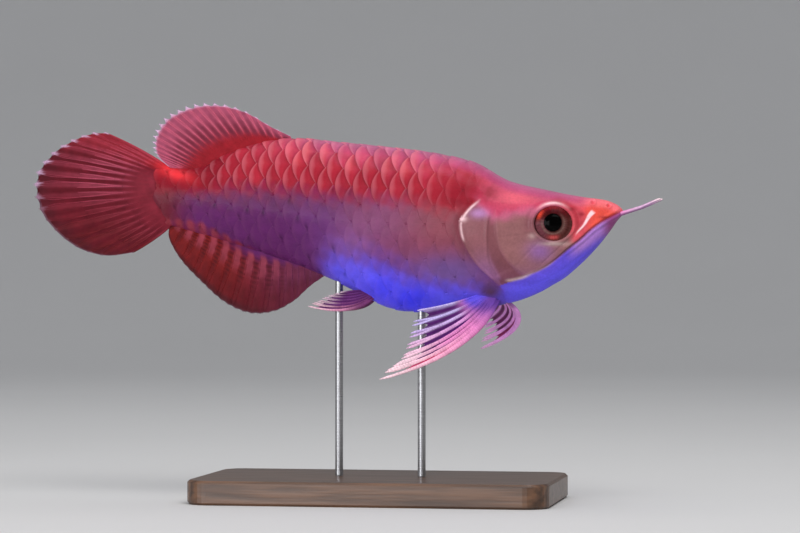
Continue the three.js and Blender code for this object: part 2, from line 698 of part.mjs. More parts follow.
put("head", head(coverRooms), materials.red);
put("lower_jaw", lowerJaw(coverRooms), materials.violet);
put("trunk", trunk, materials.red);
put("tail_stalk", stalk, materials.red);
for (const [name, side] of [["right", -1], ["left", 1]]) {
  put(`gill_cover_${name}`, gillCover(side), materials.cheek);
  put(`eye_${name}`, eyeball(side), materials.eye);
  put(`barbel_${name}`, barbel(side).subtract(barbelRoom), materials.paleFin);
}
put("dorsal_fin", dorsal, materials.fin);
put("anal_fin", anal, materials.fin);
put("caudal_fin", caudal, materials.fin);
put("pectoral_fin_right", pectoralRight, materials.paleFin);
put("pectoral_fin_left", pectoralLeft, materials.paleFin);
put("pelvic_fin_right", pelvicRight, materials.paleFin);
put("pelvic_fin_left", mirrored(pelvicRight), materials.paleFin);
put("stand_base", standBase(), materials.wood);
put("stand_rod_front", standRod(rodFront), materials.steel);
put("stand_rod_rear", standRod(rodRear), materials.steel);

export default fish;
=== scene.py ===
"""Looks of a red Asian arowana as a display model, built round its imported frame.

Shapes are worked out in millimetres in the frame's own axes, +Z up, the head along +X and the fish's
right side along -Y, and are written to the meshes in metres."""

import bpy
import numpy as np
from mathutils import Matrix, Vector


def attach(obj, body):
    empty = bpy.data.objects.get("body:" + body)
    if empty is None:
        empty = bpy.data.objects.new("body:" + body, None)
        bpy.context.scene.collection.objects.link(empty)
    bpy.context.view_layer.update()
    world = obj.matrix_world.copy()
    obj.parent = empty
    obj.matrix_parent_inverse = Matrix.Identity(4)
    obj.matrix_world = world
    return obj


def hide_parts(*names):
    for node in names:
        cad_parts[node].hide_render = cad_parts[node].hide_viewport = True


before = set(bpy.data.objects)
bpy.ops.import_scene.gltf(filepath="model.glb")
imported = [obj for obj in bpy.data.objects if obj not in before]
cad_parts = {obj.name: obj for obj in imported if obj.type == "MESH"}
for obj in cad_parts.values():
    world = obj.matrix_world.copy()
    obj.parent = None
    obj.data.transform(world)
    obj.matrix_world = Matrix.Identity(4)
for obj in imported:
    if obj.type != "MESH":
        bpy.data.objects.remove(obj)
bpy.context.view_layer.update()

MM = 0.001
RIGHT, LEFT = -1, 1  # the sign of Y
SIDE_NAMES = {RIGHT: "right", LEFT: "left"}
BODY_REAR, BODY_FRONT = -125, 122

# Profiles of the body along X, as (x, value) from the tail to the snout
BACK_LINE = [
    (-125, 167.6), (-107, 166.9), (-97, 166.4), (-92, 167.2), (-85, 170.8), (-76, 174.8), (-67, 177.8),
    (-56.5, 180.2), (-44.7, 181.5), (-22.6, 179.4), (-1.7, 177.2), (20, 174.6), (38.6, 171.2), (47.3, 168.9),
    (53.9, 166), (59.8, 162.2), (65.5, 159.4), (73.2, 157.2), (82.7, 155.2), (92.3, 153.1), (101.8, 151.2),
    (113.2, 149.3), (118, 147.2), (122, 144.4),
]
BELLY_LINE = [
    (-125, 138.2), (-107, 137.4), (-97, 134.8), (-82.6, 130.7), (-68.4, 126.2), (-52.5, 121.2),
    (-40.7, 117.3), (-28, 112), (-18.6, 107.8), (-10, 103.2), (-2, 99.2), (6.8, 95.8), (15, 94.6),
    (30.3, 94.1), (45, 94.9), (57, 97), (69.3, 99.9), (75.1, 101.9), (82.7, 105.4), (92.3, 111.8),
    (100.9, 119.2), (108.5, 127), (115.1, 135.3), (118.9, 140.6), (122, 143.2),
]
FLANK_LINE = [
    (-125, 153), (-97, 151), (-50, 145), (0, 138.5), (45, 137.5), (86, 138.5), (108, 141.5), (122, 143.8),
]
HALF_WIDTH = [
    (-125, 2.2), (-117.5, 3.3), (-108, 5.1), (-96, 7.2), (-71, 11.3), (-47, 14.9), (-26, 17), (-4, 18),
    (16, 18.3), (38, 18.1), (52, 17.4), (68, 15.7), (81, 13.9), (91, 12.2), (100.5, 10.2), (112.5, 6.8),
    (119, 4.2), (122, 2),
]
UPPER_POWER = [(-125, 2), (0, 2.15), (50, 2.4), (88, 2.8), (122, 2.2)]  # 2 is an ellipse
LOWER_POWER = [(-125, 1.9), (-20, 1.75), (48, 1.75), (88, 1.9), (122, 2.1)]
ROW_HEIGHT = [(-125, 5.4), (-96, 6.1), (-50, 7.9), (0, 8.8), (122, 8.8)]  # of the scales

# Lines of the head in the side view, as (x, z)
GILL_EDGE = [
    (66, 176), (61, 167), (56.5, 158), (52.4, 150.3), (48.4, 146.6), (44.9, 142.4), (43.1, 138.4),
    (43.3, 134.4), (44.4, 129.6), (46.8, 124.2), (51, 117.6), (56.2, 112.2), (60, 108.6), (63.2, 105),
    (64.4, 100), (64.4, 88),
]
MOUTH_LINE = [
    (124, 145.6), (122, 144.6), (114, 140.4), (107.4, 135.8), (101.5, 130.6), (96, 126.2), (90.8, 121.8),
    (85.5, 117.8), (79.5, 114.6), (72.9, 112), (67, 109.6),
]
CHEEK_REAR = [(63.5, 149), (61, 144), (60.6, 138.4), (61.6, 128.8), (63.8, 123.1), (68.3, 117.2), (74, 112.4)]
OPERCLE_FRONT = [(59.5, 147), (57.4, 138.5), (57, 129), (57.4, 120), (61, 111.6)]
MAXILLA_TOP = [(108.5, 142.5), (104, 139.6), (98.6, 133.4), (92.5, 127.4), (86.5, 122), (81.5, 117.4)]
CHEEK_SUTURES = [[(79, 133.4), (70, 132), (61.5, 131.4)], [(81.5, 129), (75, 122.6), (69.6, 116.6)]]
GULAR_LINE = [(112, 133.6), (103, 124.4), (93, 116.2), (82, 109.8), (72, 106.2), (65, 104.2)]
# line of the painted highlight down the snout
SNOUT_HIGHLIGHT_LINE = [(108.4, 144.4), (104.4, 139.4), (99, 131.6)]
# the painted highlight low on the cheek runs along this line
JAW_KEEL = [(89.4, 119.8), (83, 116.4), (79, 114.6), (73.5, 112), (68, 110.6), (64.2, 110.2)]
CAUDAL_BASE = [
    (-114.2, 168.6), (-117.2, 164.4), (-117.4, 158.6), (-115.2, 151.5), (-112.2, 144.4), (-109.8, 138.3),
]

EYE = {"x": 88.6, "z": 138.1, "radius": 10.4, "depth": 5.3, "sunk": 2.9, "turn": 10}
EYE_SIDES = 96
PUPIL_RADIUS, IRIS_RADIUS = 4.6, 9.6
ORBIT_RADIUS, ORBIT_DEPTH = 9.7, 4.2
ORBIT_SQUASH = 1.12  # the opening is lower than it is long
NOSTRILS = [(115, 146.6, 0.8), (107.5, 148.2, 1.0)]  # x, z and radius
FRECKLES = [(102.2, 142.6, 1.6, 1.2), (112.6, 141.2, 1.8, 0.8), (97.5, 145, 2, 1)]  # x, z and half sizes
BARBEL = [(117.5, 2.1, 142), (130, 4, 145.6), (141, 5.6, 150.2)]  # root, bend and tip of the left one

# Skin
SKIN_SIDES = 160  # points round each half
SKIN_DEPTH = 0.4  # below the scales
SKIN_FROM, HEAD_FROM, SNOUT_FROM = -121, 38, 116  # where its sections come closer together
TAIL_PLUG, SNOUT_TIP = (-121.4, 0, 152.9), (122.5, 0, 143.8)

# Scales: a staggered net of large overlapping plates
SCALE_COLUMNS = 42  # half-lengths from the gill cover to the tail
SCALE_ROWS = 7  # on each side of the lateral line
SCALE_FRONT = 74
SCALE_LENGTH = 9.7
SCALE_SHORTENING = 0.03
SCALE_CORNER = 0.08  # what shows at a scale's corners, in scale lengths
SCALE_TUCK = 0.26  # how far it goes on under the ones before it
SCALE_PATCH = (0.017, 0.03)  # a plate's patch on the bake's map
RIDGE_STRETCHES = [(-44, 62), (-112, -99)]  # of the back with plates along the middle
KEEL_STRETCHES = [(-27, 58)]
PLATE_ALONG = np.array([0, 0.16, 0.28, 0.4, 0.52, 0.64, 0.75, 0.85, 0.92, 0.97, 1.0])
PLATE_HALF = [0.07, 0.18, 0.34, 0.52, 0.7, 0.86, 1]
PLATE_ACROSS = np.array([*(-v for v in PLATE_HALF[::-1]), 0, *PLATE_HALF])
PLATE_MIDDLE = (5, 7)  # in the grid of those two
SIDE_SEEDS, MIDDLE_SEEDS = {RIGHT: 7, LEFT: 8}, (9, 10)
NAPE_FROM = 30  # plates behind it have none of the head's colours

# Fins: their tips in the side view, and how they are built
DORSAL_TIPS = [
    (-46.5, 183), (-57.2, 188.3), (-68.4, 195), (-78.9, 198.8), (-89.5, 200), (-100.1, 198.5),
    (-112.1, 192.4), (-117.6, 182.5), (-116.6, 174.6), (-110.1, 168.2),
]
ANAL_TIPS = [
    (-28.2, 112.4), (-35.9, 106.9), (-43.8, 99.6), (-54.1, 94.1), (-66.8, 93.1), (-79.4, 98.3),
    (-92.1, 109.2), (-103.3, 121.1), (-109, 131.8), (-108.9, 137.5),
]
ANAL_ROOT = (-29.5, -107.5)  # where it starts and ends along X
CAUDAL_TIPS = [
    (-143, 185.4), (-150.3, 185.2), (-163, 180.9), (-173.8, 173.8), (-181.2, 163.4), (-181.4, 153),
    (-177.4, 143.5), (-167, 132.4), (-157, 126), (-142.9, 122.4), (-128.1, 124),
]
CAUDAL_ROOT = [
    (-106.5, 165.2), (-113.3, 163.2), (-114.9, 158.6), (-112.7, 151.5), (-109.7, 144.4), (-106, 139.2),
]
PECTORAL_RIGHT = {
    "first": ((60.5, -3.8, 102), (51, -28, 73.6)),
    "last": ((53, -5.5, 104), (41, -20, 98)),
    "tips": [
        (5.8, -35, 61.8), (8.9, -35, 65.6), (15.8, -34, 71), (18.2, -33, 75.5), (20, -32, 81),
        (20.9, -30.5, 86.5), (21.9, -28, 91.4), (23, -26, 95.4),
    ],
}
PECTORAL_LEFT = {
    "first": ((60.5, 3.8, 102), (79, 27, 88.4)),
    "last": ((53, 5.5, 104), (60.5, 21, 100.5)),
    "tips": [
        (41.3, 62, 74.3), (42.1, 60, 78.3), (44.2, 57, 82.1), (44.6, 52, 85.6), (44, 46, 88.8), (42, 40, 92),
    ],
}
PELVIC_RIGHT = {
    "first": ((-2, -3.4, 102.4), (-12, -9.5, 91.4)),
    "last": ((-7.5, -4, 105), (-13, -9, 105)),
    "tips": [
        (-34.5, -12, 97.3), (-32.4, -12.2, 98.8), (-29.4, -12.4, 100), (-25.9, -12.4, 102),
        (-18.3, -12, 104.1),
    ],
}
WEB_ROWS, WEB_PER_RAY = 44, 8
WEB_HALF, WEB_WAVE = 0.13, 0.18
DORSAL_LOOK = dict(
    rays=28, pace=1.9, radius=0.44, lead=(1.5, 1.3), fade=0.42,
    splits=((0.5, 0.15, True),), web=0.925, scallop=0.06,
)
ANAL_LOOK = dict(
    rays=26, pace=1.0, radius=0.42, lead=(1.5, 1.3), fade=0.34,
    splits=((0.45, 0.2, False), (0.72, 0.1, False)), web=0.975, scallop=0.012,
)
CAUDAL_LOOK = dict(
    rays=19, pace=0.9, radius=0.55, lead=(1.3, 1.2), fade=0.34,
    splits=((0.26, 0.24, True), (0.62, 0.1, True)), web=0.962, scallop=0.02, full_rear=0.9,
)
PECTORAL_LOOK = dict(
    rays=8, pace=0.88, radius=0.62, lead=(3.0, 1.6), fade=0.2,
    breadths=(1, 2.2, 1.9, 1.8, 1.7, 1.5, 1.3, 1.1),
    splits=((0.66, 0.17, False),), web=0.82, scallop=0.12, branch=0.85,
)
FAR_PECTORAL_LOOK = dict(PECTORAL_LOOK, rays=6, lead=(3.4, 1.6), breadths=(1, 1.6, 1.4, 1.3, 1.2, 1.1))
PELVIC_LOOK = dict(
    rays=7, pace=1.0, radius=0.45, lead=(2.4, 1.4), fade=0.2,
    breadths=(1, 1.5, 1.2, 1.1, 1, 1, 1),
    splits=((0.6, 0.2, False),), web=0.88, scallop=0.08, branch=0.8,
)

# Colours, as linear light
ROSE = (0.52, 0.055, 0.12)
LAVENDER = (0.55, 0.26, 0.44)
CRIMSON = (0.37, 0.017, 0.034)
DEEP_CRIMSON = (0.22, 0.008, 0.018)
SCARLET = (0.78, 0.035, 0.045)
GARNET = (0.135, 0.014, 0.028)
MAUVE = (0.125, 0.026, 0.145)
HEATHER = (0.205, 0.050, 0.14)
DUSK = (0.115, 0.018, 0.115)
TAUPE = (0.25, 0.056, 0.082)
# painted blue light from below, in the next two colours
VIOLET_LIGHT_HAZE = (0.16, 0.085, 0.28)
PALE_BLUE_LIGHT = (0.13, 0.11, 1.0)
# colour of a painted sheen along the top of the body
TOP_SHEEN_ROSE = (0.44, 0.08, 0.20)
OPERCLE = (0.25, 0.09, 0.105)
BEIGE = (0.28, 0.115, 0.12)
MAUVE_BROWN = (0.22, 0.07, 0.09)
DARK_ROSE = (0.17, 0.05, 0.06)
VIOLET = (0.13, 0.05, 0.34)
# painted blue light from below, in the next two colours
DEEP_BLUE_LIGHT = (0.045, 0.045, 1.0)
BLUE_LIGHT_TINT = (0.13, 0.10, 0.88)
LILAC = (0.42, 0.20, 0.56)
ORANGE = (0.80, 0.085, 0.055)
CORAL = (0.97, 0.18, 0.19)
SNOUT_ROSE = (0.66, 0.075, 0.10)
PALE_PINK = (1.0, 0.66, 0.70)
IVORY = (0.60, 0.42, 0.40)
# the colour of a painted shadow above the pectoral fin's root
AXIL_SHADOW_UMBER = (0.085, 0.03, 0.04)
PUPIL = (0.001, 0.0008, 0.0008)
IRIS_RING = (0.14, 0.075, 0.065)
IRIS_BROWN = (0.045, 0.008, 0.007)
IRIS_TAUPE = (0.10, 0.035, 0.032)
IRIS_MAUVE = (0.115, 0.032, 0.042)
# colour of the painted shade over the top of the iris
IRIS_SHADE = (0.05, 0.003, 0.006)
IRIS_ORANGE = (0.75, 0.07, 0.035)
IRIS_PINK = (0.48, 0.07, 0.07)
FIN_DARK = (0.11, 0.007, 0.017)
FIN_FLESH = (0.27, 0.013, 0.021)
FIN_RED = (0.38, 0.028, 0.045)
FIN_PINK = (0.52, 0.10, 0.165)
FIN_MAUVE = (0.40, 0.08, 0.15)
FIN_PALE = (0.66, 0.46, 0.66)
TAIL_DARK = (0.055, 0.003, 0.009)
TAIL_RED = (0.17, 0.009, 0.017)
TAIL_OLIVE = (0.10, 0.010, 0.008)
ANAL_DARK = (0.085, 0.006, 0.010)
ANAL_RED = (0.23, 0.016, 0.015)
ANAL_STREAK = (0.025, 0.003, 0.006)
EDGE_DARK = (0.022, 0.010, 0.014)
EDGE_PALE = (0.26, 0.17, 0.22)
PLUM = (0.075, 0.012, 0.12)
MAGENTA = (0.52, 0.035, 0.13)
BLUSH = (0.94, 0.40, 0.58)
ORCHID = (0.74, 0.22, 0.52)
# painted light: the far pectoral fin's rays, brighter than the near fin's
FAR_LIT_LILAC = (1.0, 0.42, 0.98)
PALE_VIOLET = (0.56, 0.46, 0.82)
PEARL = (0.95, 0.72, 0.76)

# The camera, at the photograph's angle and framing, in metres
CAMERA_PLACE = (0.27047, -1.47721, 0.117)
CAMERA_TARGET = (0.010, 0.0, 0.117)
LIGHT_TARGET = (-0.02, 0, 0.14)


# Smooth values and curves
def hermite(start, end, leave, arrive, t):
    """Cubic from start to end with the given tangents."""
    ends = start * (2 * t**3 - 3 * t**2 + 1) + end * (3 * t**2 - 2 * t**3)
    return ends + leave * (t**3 - 2 * t**2 + t) + arrive * (t**3 - t**2)


def profile(table):
    """Smooth value at x from a table of (x, value), with no overshoot between its points."""
    xs, values = np.array(table, float).T
    slopes = np.diff(values) / np.diff(xs)
    before, after = slopes[:-1], slopes[1:]
    same = before * after > 0
    total = np.where(same, before + after, 1)
    inner = np.where(same, 2 * before * after / total, 0)
    tangents = np.concatenate((slopes[:1], inner, slopes[-1:]))

    def value(x):
        x = np.clip(x, xs[0], xs[-1])
        i = np.clip(np.searchsorted(xs, x, side="right") - 1, 0, len(xs) - 2)
        step = xs[i + 1] - xs[i]
        t = (x - xs[i]) / step
        return hermite(values[i], values[i + 1], step * tangents[i], step * tangents[i + 1], t)

    return value


def curve_through(points, dense=30):
    """Point at a share of the length of a smooth curve through the given points."""
    p = np.array(points, float)
    p = np.vstack((2 * p[0] - p[1], p, 2 * p[-1] - p[-2]))
    t = np.linspace(0, 1, dense, endpoint=False)[:, None]
    stretches = []
    for a, b, c, d in zip(p[:-3], p[1:-2], p[2:-1], p[3:]):
        first, middle, last = (np.linalg.norm(v) ** 0.5 for v in (b - a, c - b, d - c))
        leave = ((b - a) / first - (c - a) / (first + middle) + (c - b) / middle) * middle
        arrive = ((c - b) / middle - (d - b) / (middle + last) + (d - c) / last) * middle
        stretches.append(hermite(b, c, leave, arrive, t))
    line = np.vstack((*stretches, p[-2:-1]))
    along = np.concatenate(([0], np.cumsum(np.linalg.norm(np.diff(line, axis=0), axis=1))))
    shares = along / along[-1]
    return lambda f: np.stack([np.interp(f, shares, column) for column in line.T], axis=-1)


def measure(line, x, z, count=48):
    """Distance from a line of the side view, positive on its left, and the share of its length there."""
    p = curve_through(line)(np.linspace(0, 1, count))
    best = np.full(np.shape(x), np.inf)
    side = np.ones(np.shape(x))
    share = np.zeros(np.shape(x))
    for i, (a, b) in enumerate(zip(p[:-1], p[1:])):
        step = b - a
        t = np.clip(((x - a[0]) * step[0] + (z - a[1]) * step[1]) / (step @ step), 0, 1)
        dx, dz = x - a[0] - t * step[0], z - a[1] - t * step[1]
        away = np.hypot(dx, dz)
        nearer = away < best
        best = np.where(nearer, away, best)
        side = np.where(nearer, np.sign(step[1] * dx - step[0] * dz), side)
        share = np.where(nearer, (i + t) / (count - 1), share)
    return best * -side, share


def gill_at(x, z):
    """Distance in front of the gill cover's free edge."""
    return measure(GILL_EDGE, x, z)[0]


def tail_at(x, z):
    """Distance in front of the line where the scales end and the tail fin begins."""
    return measure(CAUDAL_BASE, x, z)[0]


def above(line, x, z):
    """Height above a line that runs from the snout towards the tail, and the share of its length."""
    below, share = measure(line, x, z)
    return -below, share


def smooth(value, low, high):
    """0 below low, 1 above high, and a smooth step between them."""
    t = np.clip((value - low) / (high - low), 0, 1)
    return t * t * (3 - 2 * t)


def fade(value, low, high):
    """1 below low and 0 above high."""
    return 1 - smooth(value, low, high)


def window(value, rise, full, fall, end):
    """1 from full to fall, and 0 before rise and after end."""
    return smooth(value, rise, full) * fade(value, fall, end)


def ridge(away, half):
    """1 on a line and 0 away from it."""
    return np.exp(-((away / half) ** 2))


def mix(a, b, amount):
    """Blend of two colours, or of two arrays of colours, by an amount for each point."""
    amount = np.asarray(amount)[..., None]
    return np.asarray(a) * (1 - amount) + np.asarray(b) * amount


def layered(colour, *layers):
    """A colour under layers of (colour, amount), each laid over those before it."""
    for shade, amount in layers:
        colour = mix(colour, shade, amount)
    return colour


def unit(vectors):
    return vectors / np.maximum(1e-9, np.linalg.norm(vectors, axis=-1, keepdims=True))


def arc(root, bend, tip, s):
    """Points on a curve from root to tip that is drawn towards bend."""
    s = np.asarray(s)[..., None]
    return (1 - s) ** 2 * root + 2 * s * (1 - s) * bend + s**2 * tip


def fold(q):
    """A place round the body that is past the belly, 0, or the back, 1, brought back between them."""
    return np.where(q < 0, -q, np.where(q > 1, 2 - q, q))


back_at = profile(BACK_LINE)
belly_at = profile(BELLY_LINE)
flank_at = profile(FLANK_LINE)
half_width_at = profile(HALF_WIDTH)
upper_power_at = profile(UPPER_POWER)
lower_power_at = profile(LOWER_POWER)
row_height_at = profile(ROW_HEIGHT)


def half_height_at(x, up):
    """Height of a section above its widest level, or below it."""
    return np.where(up, back_at(x) - flank_at(x), flank_at(x) - belly_at(x))


def body_half_at(x, z):
    """Half thickness of the body at a point of the side view."""
    up = z >= flank_at(x)
    power = np.where(up, upper_power_at(x), lower_power_at(x))
    share = np.minimum(1, np.abs(z - flank_at(x)) / half_height_at(x, up))
    return half_width_at(x) * (1 - share**power) ** (1 / power)


class Body:
    """The smooth body as a table of sections: each goes round the right side from the belly, 0, to the
    back, 1, in equal steps along the skin."""

    STEP, SIDES = 0.5, 200

    def __init__(self):
        self.xs = np.arange(BODY_REAR, BODY_FRONT + self.STEP / 2, self.STEP)
        angle = np.linspace(-np.pi / 2, np.pi / 2, 4 * self.SIDES + 1)
        up = angle >= 0
        upward = smooth(angle, -0.75, 0.45)
        rows, lengths, flanks = [], [], []
        for x in self.xs:
            power = lower_power_at(x) + (upper_power_at(x) - lower_power_at(x)) * upward
            reach = half_height_at(x, up)
            y = half_width_at(x) * np.maximum(0, np.cos(angle)) ** (2 / power)
            z = flank_at(x) + np.sign(angle) * reach * np.abs(np.sin(angle)) ** (2 / power)
            along = np.concatenate(([0], np.cumsum(np.hypot(np.diff(y), np.diff(z)))))
            even = np.linspace(0, along[-1], self.SIDES + 1)
            section = (np.full(even.shape, x), -np.interp(even, along, y), np.interp(even, along, z))
            rows.append(np.stack(section, -1))
            lengths.append(along[-1])
            flanks.append(along[2 * self.SIDES])
        self.points = np.array(rows)
        self.lengths, self.flanks = np.array(lengths), np.array(flanks)
        self.normals = unit(np.cross(np.gradient(self.points, axis=0), np.gradient(self.points, axis=1)))

    def length(self, x):
        return np.interp(x, self.xs, self.lengths)

    def flank(self, x):
        return np.interp(x, self.xs, self.flanks)

    def look_up(self, table, x, q):
        i = np.clip((x - BODY_REAR) / self.STEP, 0, len(self.xs) - 1.001)
        j = np.clip(q * self.SIDES, 0, self.SIDES - 0.001)
        i0, j0 = i.astype(int), j.astype(int)
        a, b = (i - i0)[..., None], (j - j0)[..., None]
        near = table[i0, j0] * (1 - b) + table[i0, j0 + 1] * b
        far = table[i0 + 1, j0] * (1 - b) + table[i0 + 1, j0 + 1] * b
        return near * (1 - a) + far * a

    def at(self, x, q, out):
        """Points raised off the skin by out. Past the belly or the back, q goes on round the far side."""
        point = self.look_up(self.points, x, fold(q))
        point += self.look_up(self.normals, x, fold(q)) * out[..., None]
        point[..., 1] = np.where((q < 0) | (q > 1), -point[..., 1], point[..., 1])
        return point


body = Body()


# Where the colours lie on the fish
red_edge_at = profile([
    (-125, 160), (-110, 160), (-97, 157.5), (-60, 157.5), (-22, 154.5), (15, 151.5), (42, 147), (122, 147),
])
rose_edge_at = profile([(-125, 172), (-90, 170), (-40, 172), (0, 166), (30, 164), (50, 162), (122, 150)])
# upper edge of the painted blue light from below
blue_light_edge_at = profile([
    (-125, 113), (-40, 117), (-22, 119), (-5, 117), (8, 112), (22, 107), (45, 104), (62, 101), (122, 98),
])
crown_edge_at = profile([
    (40, 150), (50.7, 148), (55, 143.4), (60, 140), (68, 141.4), (75, 143), (92, 143), (112, 138),
])
fringe_edge_at = profile([
    (-125, 142), (-103, 140.8), (-89.6, 138.8), (-85.6, 136.4), (-79.2, 133.6), (-71.6, 129.3), (-64, 126.2),
    (-40, 110),
])
NAPE = (148, 154)  # heights between which the cover of scales starts to thin out towards the head


def wander(x, z):
    """Small smooth shifts that keep the edges of the markings uneven."""
    return 1.1 * np.sin(0.42 * x + 0.8 * z) + 0.8 * np.sin(1.05 * x - 0.63 * z + 2)


def spot(x, z, at_x, at_z, long, high):
    """1 at a place of the side view and 0 outside an oval of the given half sizes."""
    return ridge(np.hypot((x - at_x) / long, (z - at_z) / high), 1)


def eye_distance(x, z):
    return np.hypot(x - EYE["x"], (z - EYE["z"]) * ORBIT_SQUASH)


def pair_gap(place):
    """Distance, in rays, from the nearest dark line of the anal fin, which keeps to every second gap."""
    return np.abs((place + 0.5) % 2 - 1)


def throat_blue_light(x, z):
    """How far the painted blue light from below reaches up the throat, on the trunk and the gill cover."""
    return 0.8 * smooth(0.3 * (x - 64) + 106 - z, -4, 5)


def shared_marks(colour, x, z):
    """Marks that cross from the trunk to the head, with a spot of painted blue light and a painted shadow
    above the pectoral fin's root.
    """
    blot = wander(1.6 * x, 1.6 * z)
    nape = np.maximum.reduce((
        0.7 * spot(x + blot, z, 44, 155, 11, 5.5),
        0.95 * spot(x, z + 0.5 * blot, 43, 149, 10, 2.6),
        0.85 * spot(x, z + 0.6 * blot, 57, 153, 4.4, 4),
    ))
    return layered(
        colour,
        (DEEP_CRIMSON, 0.85 * nape),
        # painted blue light from below: a violet spot at the pectoral fin's root
        (VIOLET, 0.85 * spot(x, z, 58, 97.5, 8, 4)),
        # painted shadow above the pectoral fin's root
        (AXIL_SHADOW_UMBER, 0.92 * spot(x, z, 57, 104.6, 6, 4.4)),
    )


def body_colour(x, z):
    """Markings of the trunk at points of the side view, with painted blue light from below, a painted sheen
    along the back and a painted shadow behind the gill cover.
    """
    uneven = wander(x, z)
    place = (ANAL_ROOT[0] - x) / (ANAL_ROOT[0] - ANAL_ROOT[1]) * (ANAL_LOOK["rays"] - 1)
    lobe = smooth(pair_gap(place), 0.1, 0.75)
    fringe = smooth(fringe_edge_at(x) - z + 1.2 * lobe, -0.3, 2.2) * smooth(-x, 62, 70)
    low = blue_light_edge_at(x) - z + uneven
    front = smooth(x, -34, -18)
    over = z - red_edge_at(x) + uneven
    top = z - back_at(x)
    # spots of painted blue light on the belly
    blue_light_spots = np.maximum(0.6 * spot(x, z, 4, 106, 9, 7), 0.95 * spot(x + uneven, z, 18, 100.5, 11, 6.5))
    gill_shadow = ridge(gill_at(x, z) + 2.2, 2.4) * window(z, 116, 124, 143, 148)
    colour = layered(
        MAUVE,
        (HEATHER, smooth(x, -28, -3)),
        (TAUPE, smooth(x, -2, 36) * smooth(z, 112, 128)),
        (DUSK, smooth(-x, 22, 52)),
        (GARNET, smooth(-x, 92, 110)),
        (mix(mix(ANAL_RED, DUSK, 0.5), mix(ANAL_RED, FIN_PINK, 0.25), lobe), 0.8 * fringe),
        # painted blue light from below: violet to blue over the belly and throat, in this and the next five
        # layers
        (VIOLET, 0.85 * smooth(low, -17, -2) * front),
        (VIOLET_LIGHT_HAZE, 0.85 * spot(x, z, 38, 115, 20, 9)),
        (BLUE_LIGHT_TINT, smooth(low, -8, 5) * front),
        (DEEP_BLUE_LIGHT, blue_light_spots),
        (PALE_BLUE_LIGHT, 0.85 * spot(x, z, 37, 97, 14, 6)),
        (BLUE_LIGHT_TINT, throat_blue_light(x, z) * smooth(x, 34, 52)),
        (LILAC, 0.2 * spot(x, z, -12, 128, 12, 8)),
        (CRIMSON, smooth(over, -9, 4)),
        (GARNET, 0.3 * ridge(over + 5, 6) * smooth(-x, -10, 15)),
        (ROSE, 0.85 * smooth(z - rose_edge_at(x) + 1.5 * uneven, -5, 7) * smooth(x, -80, -25)),
        (DEEP_CRIMSON, 0.9 * smooth(-x, 71, 85) * smooth(z, 152, 158)),
        (SCARLET, 0.95 * spot(x, z + 0.3 * (x + 105), -105, 164, 11, 3.0)),
        # painted highlight: a rose and lavender sheen along the top of the back, in this and the next layer
        (TOP_SHEEN_ROSE, 0.75 * smooth(top, -7, -2) * smooth(x, -60, -10)),
        (LAVENDER, 0.35 * smooth(top, -2.5, 0) * smooth(x, -60, -20)),
        (DARK_ROSE, 0.45 * gill_shadow),
    )
    return shared_marks(colour, x, z)


def snout_highlight(x, z):
    """A painted highlight: the pale uneven streak of reflected light down the snout, which narrows towards
    the mouth.
    """
    off, share = measure(SNOUT_HIGHLIGHT_LINE, x, z)
    half = 0.3 + (1 - share) ** 2
    return smooth(half - np.abs(off + 0.3 * np.sin(9 * share)), -0.25, 0.35) * window(share, 0, 0.1, 0.75, 1)


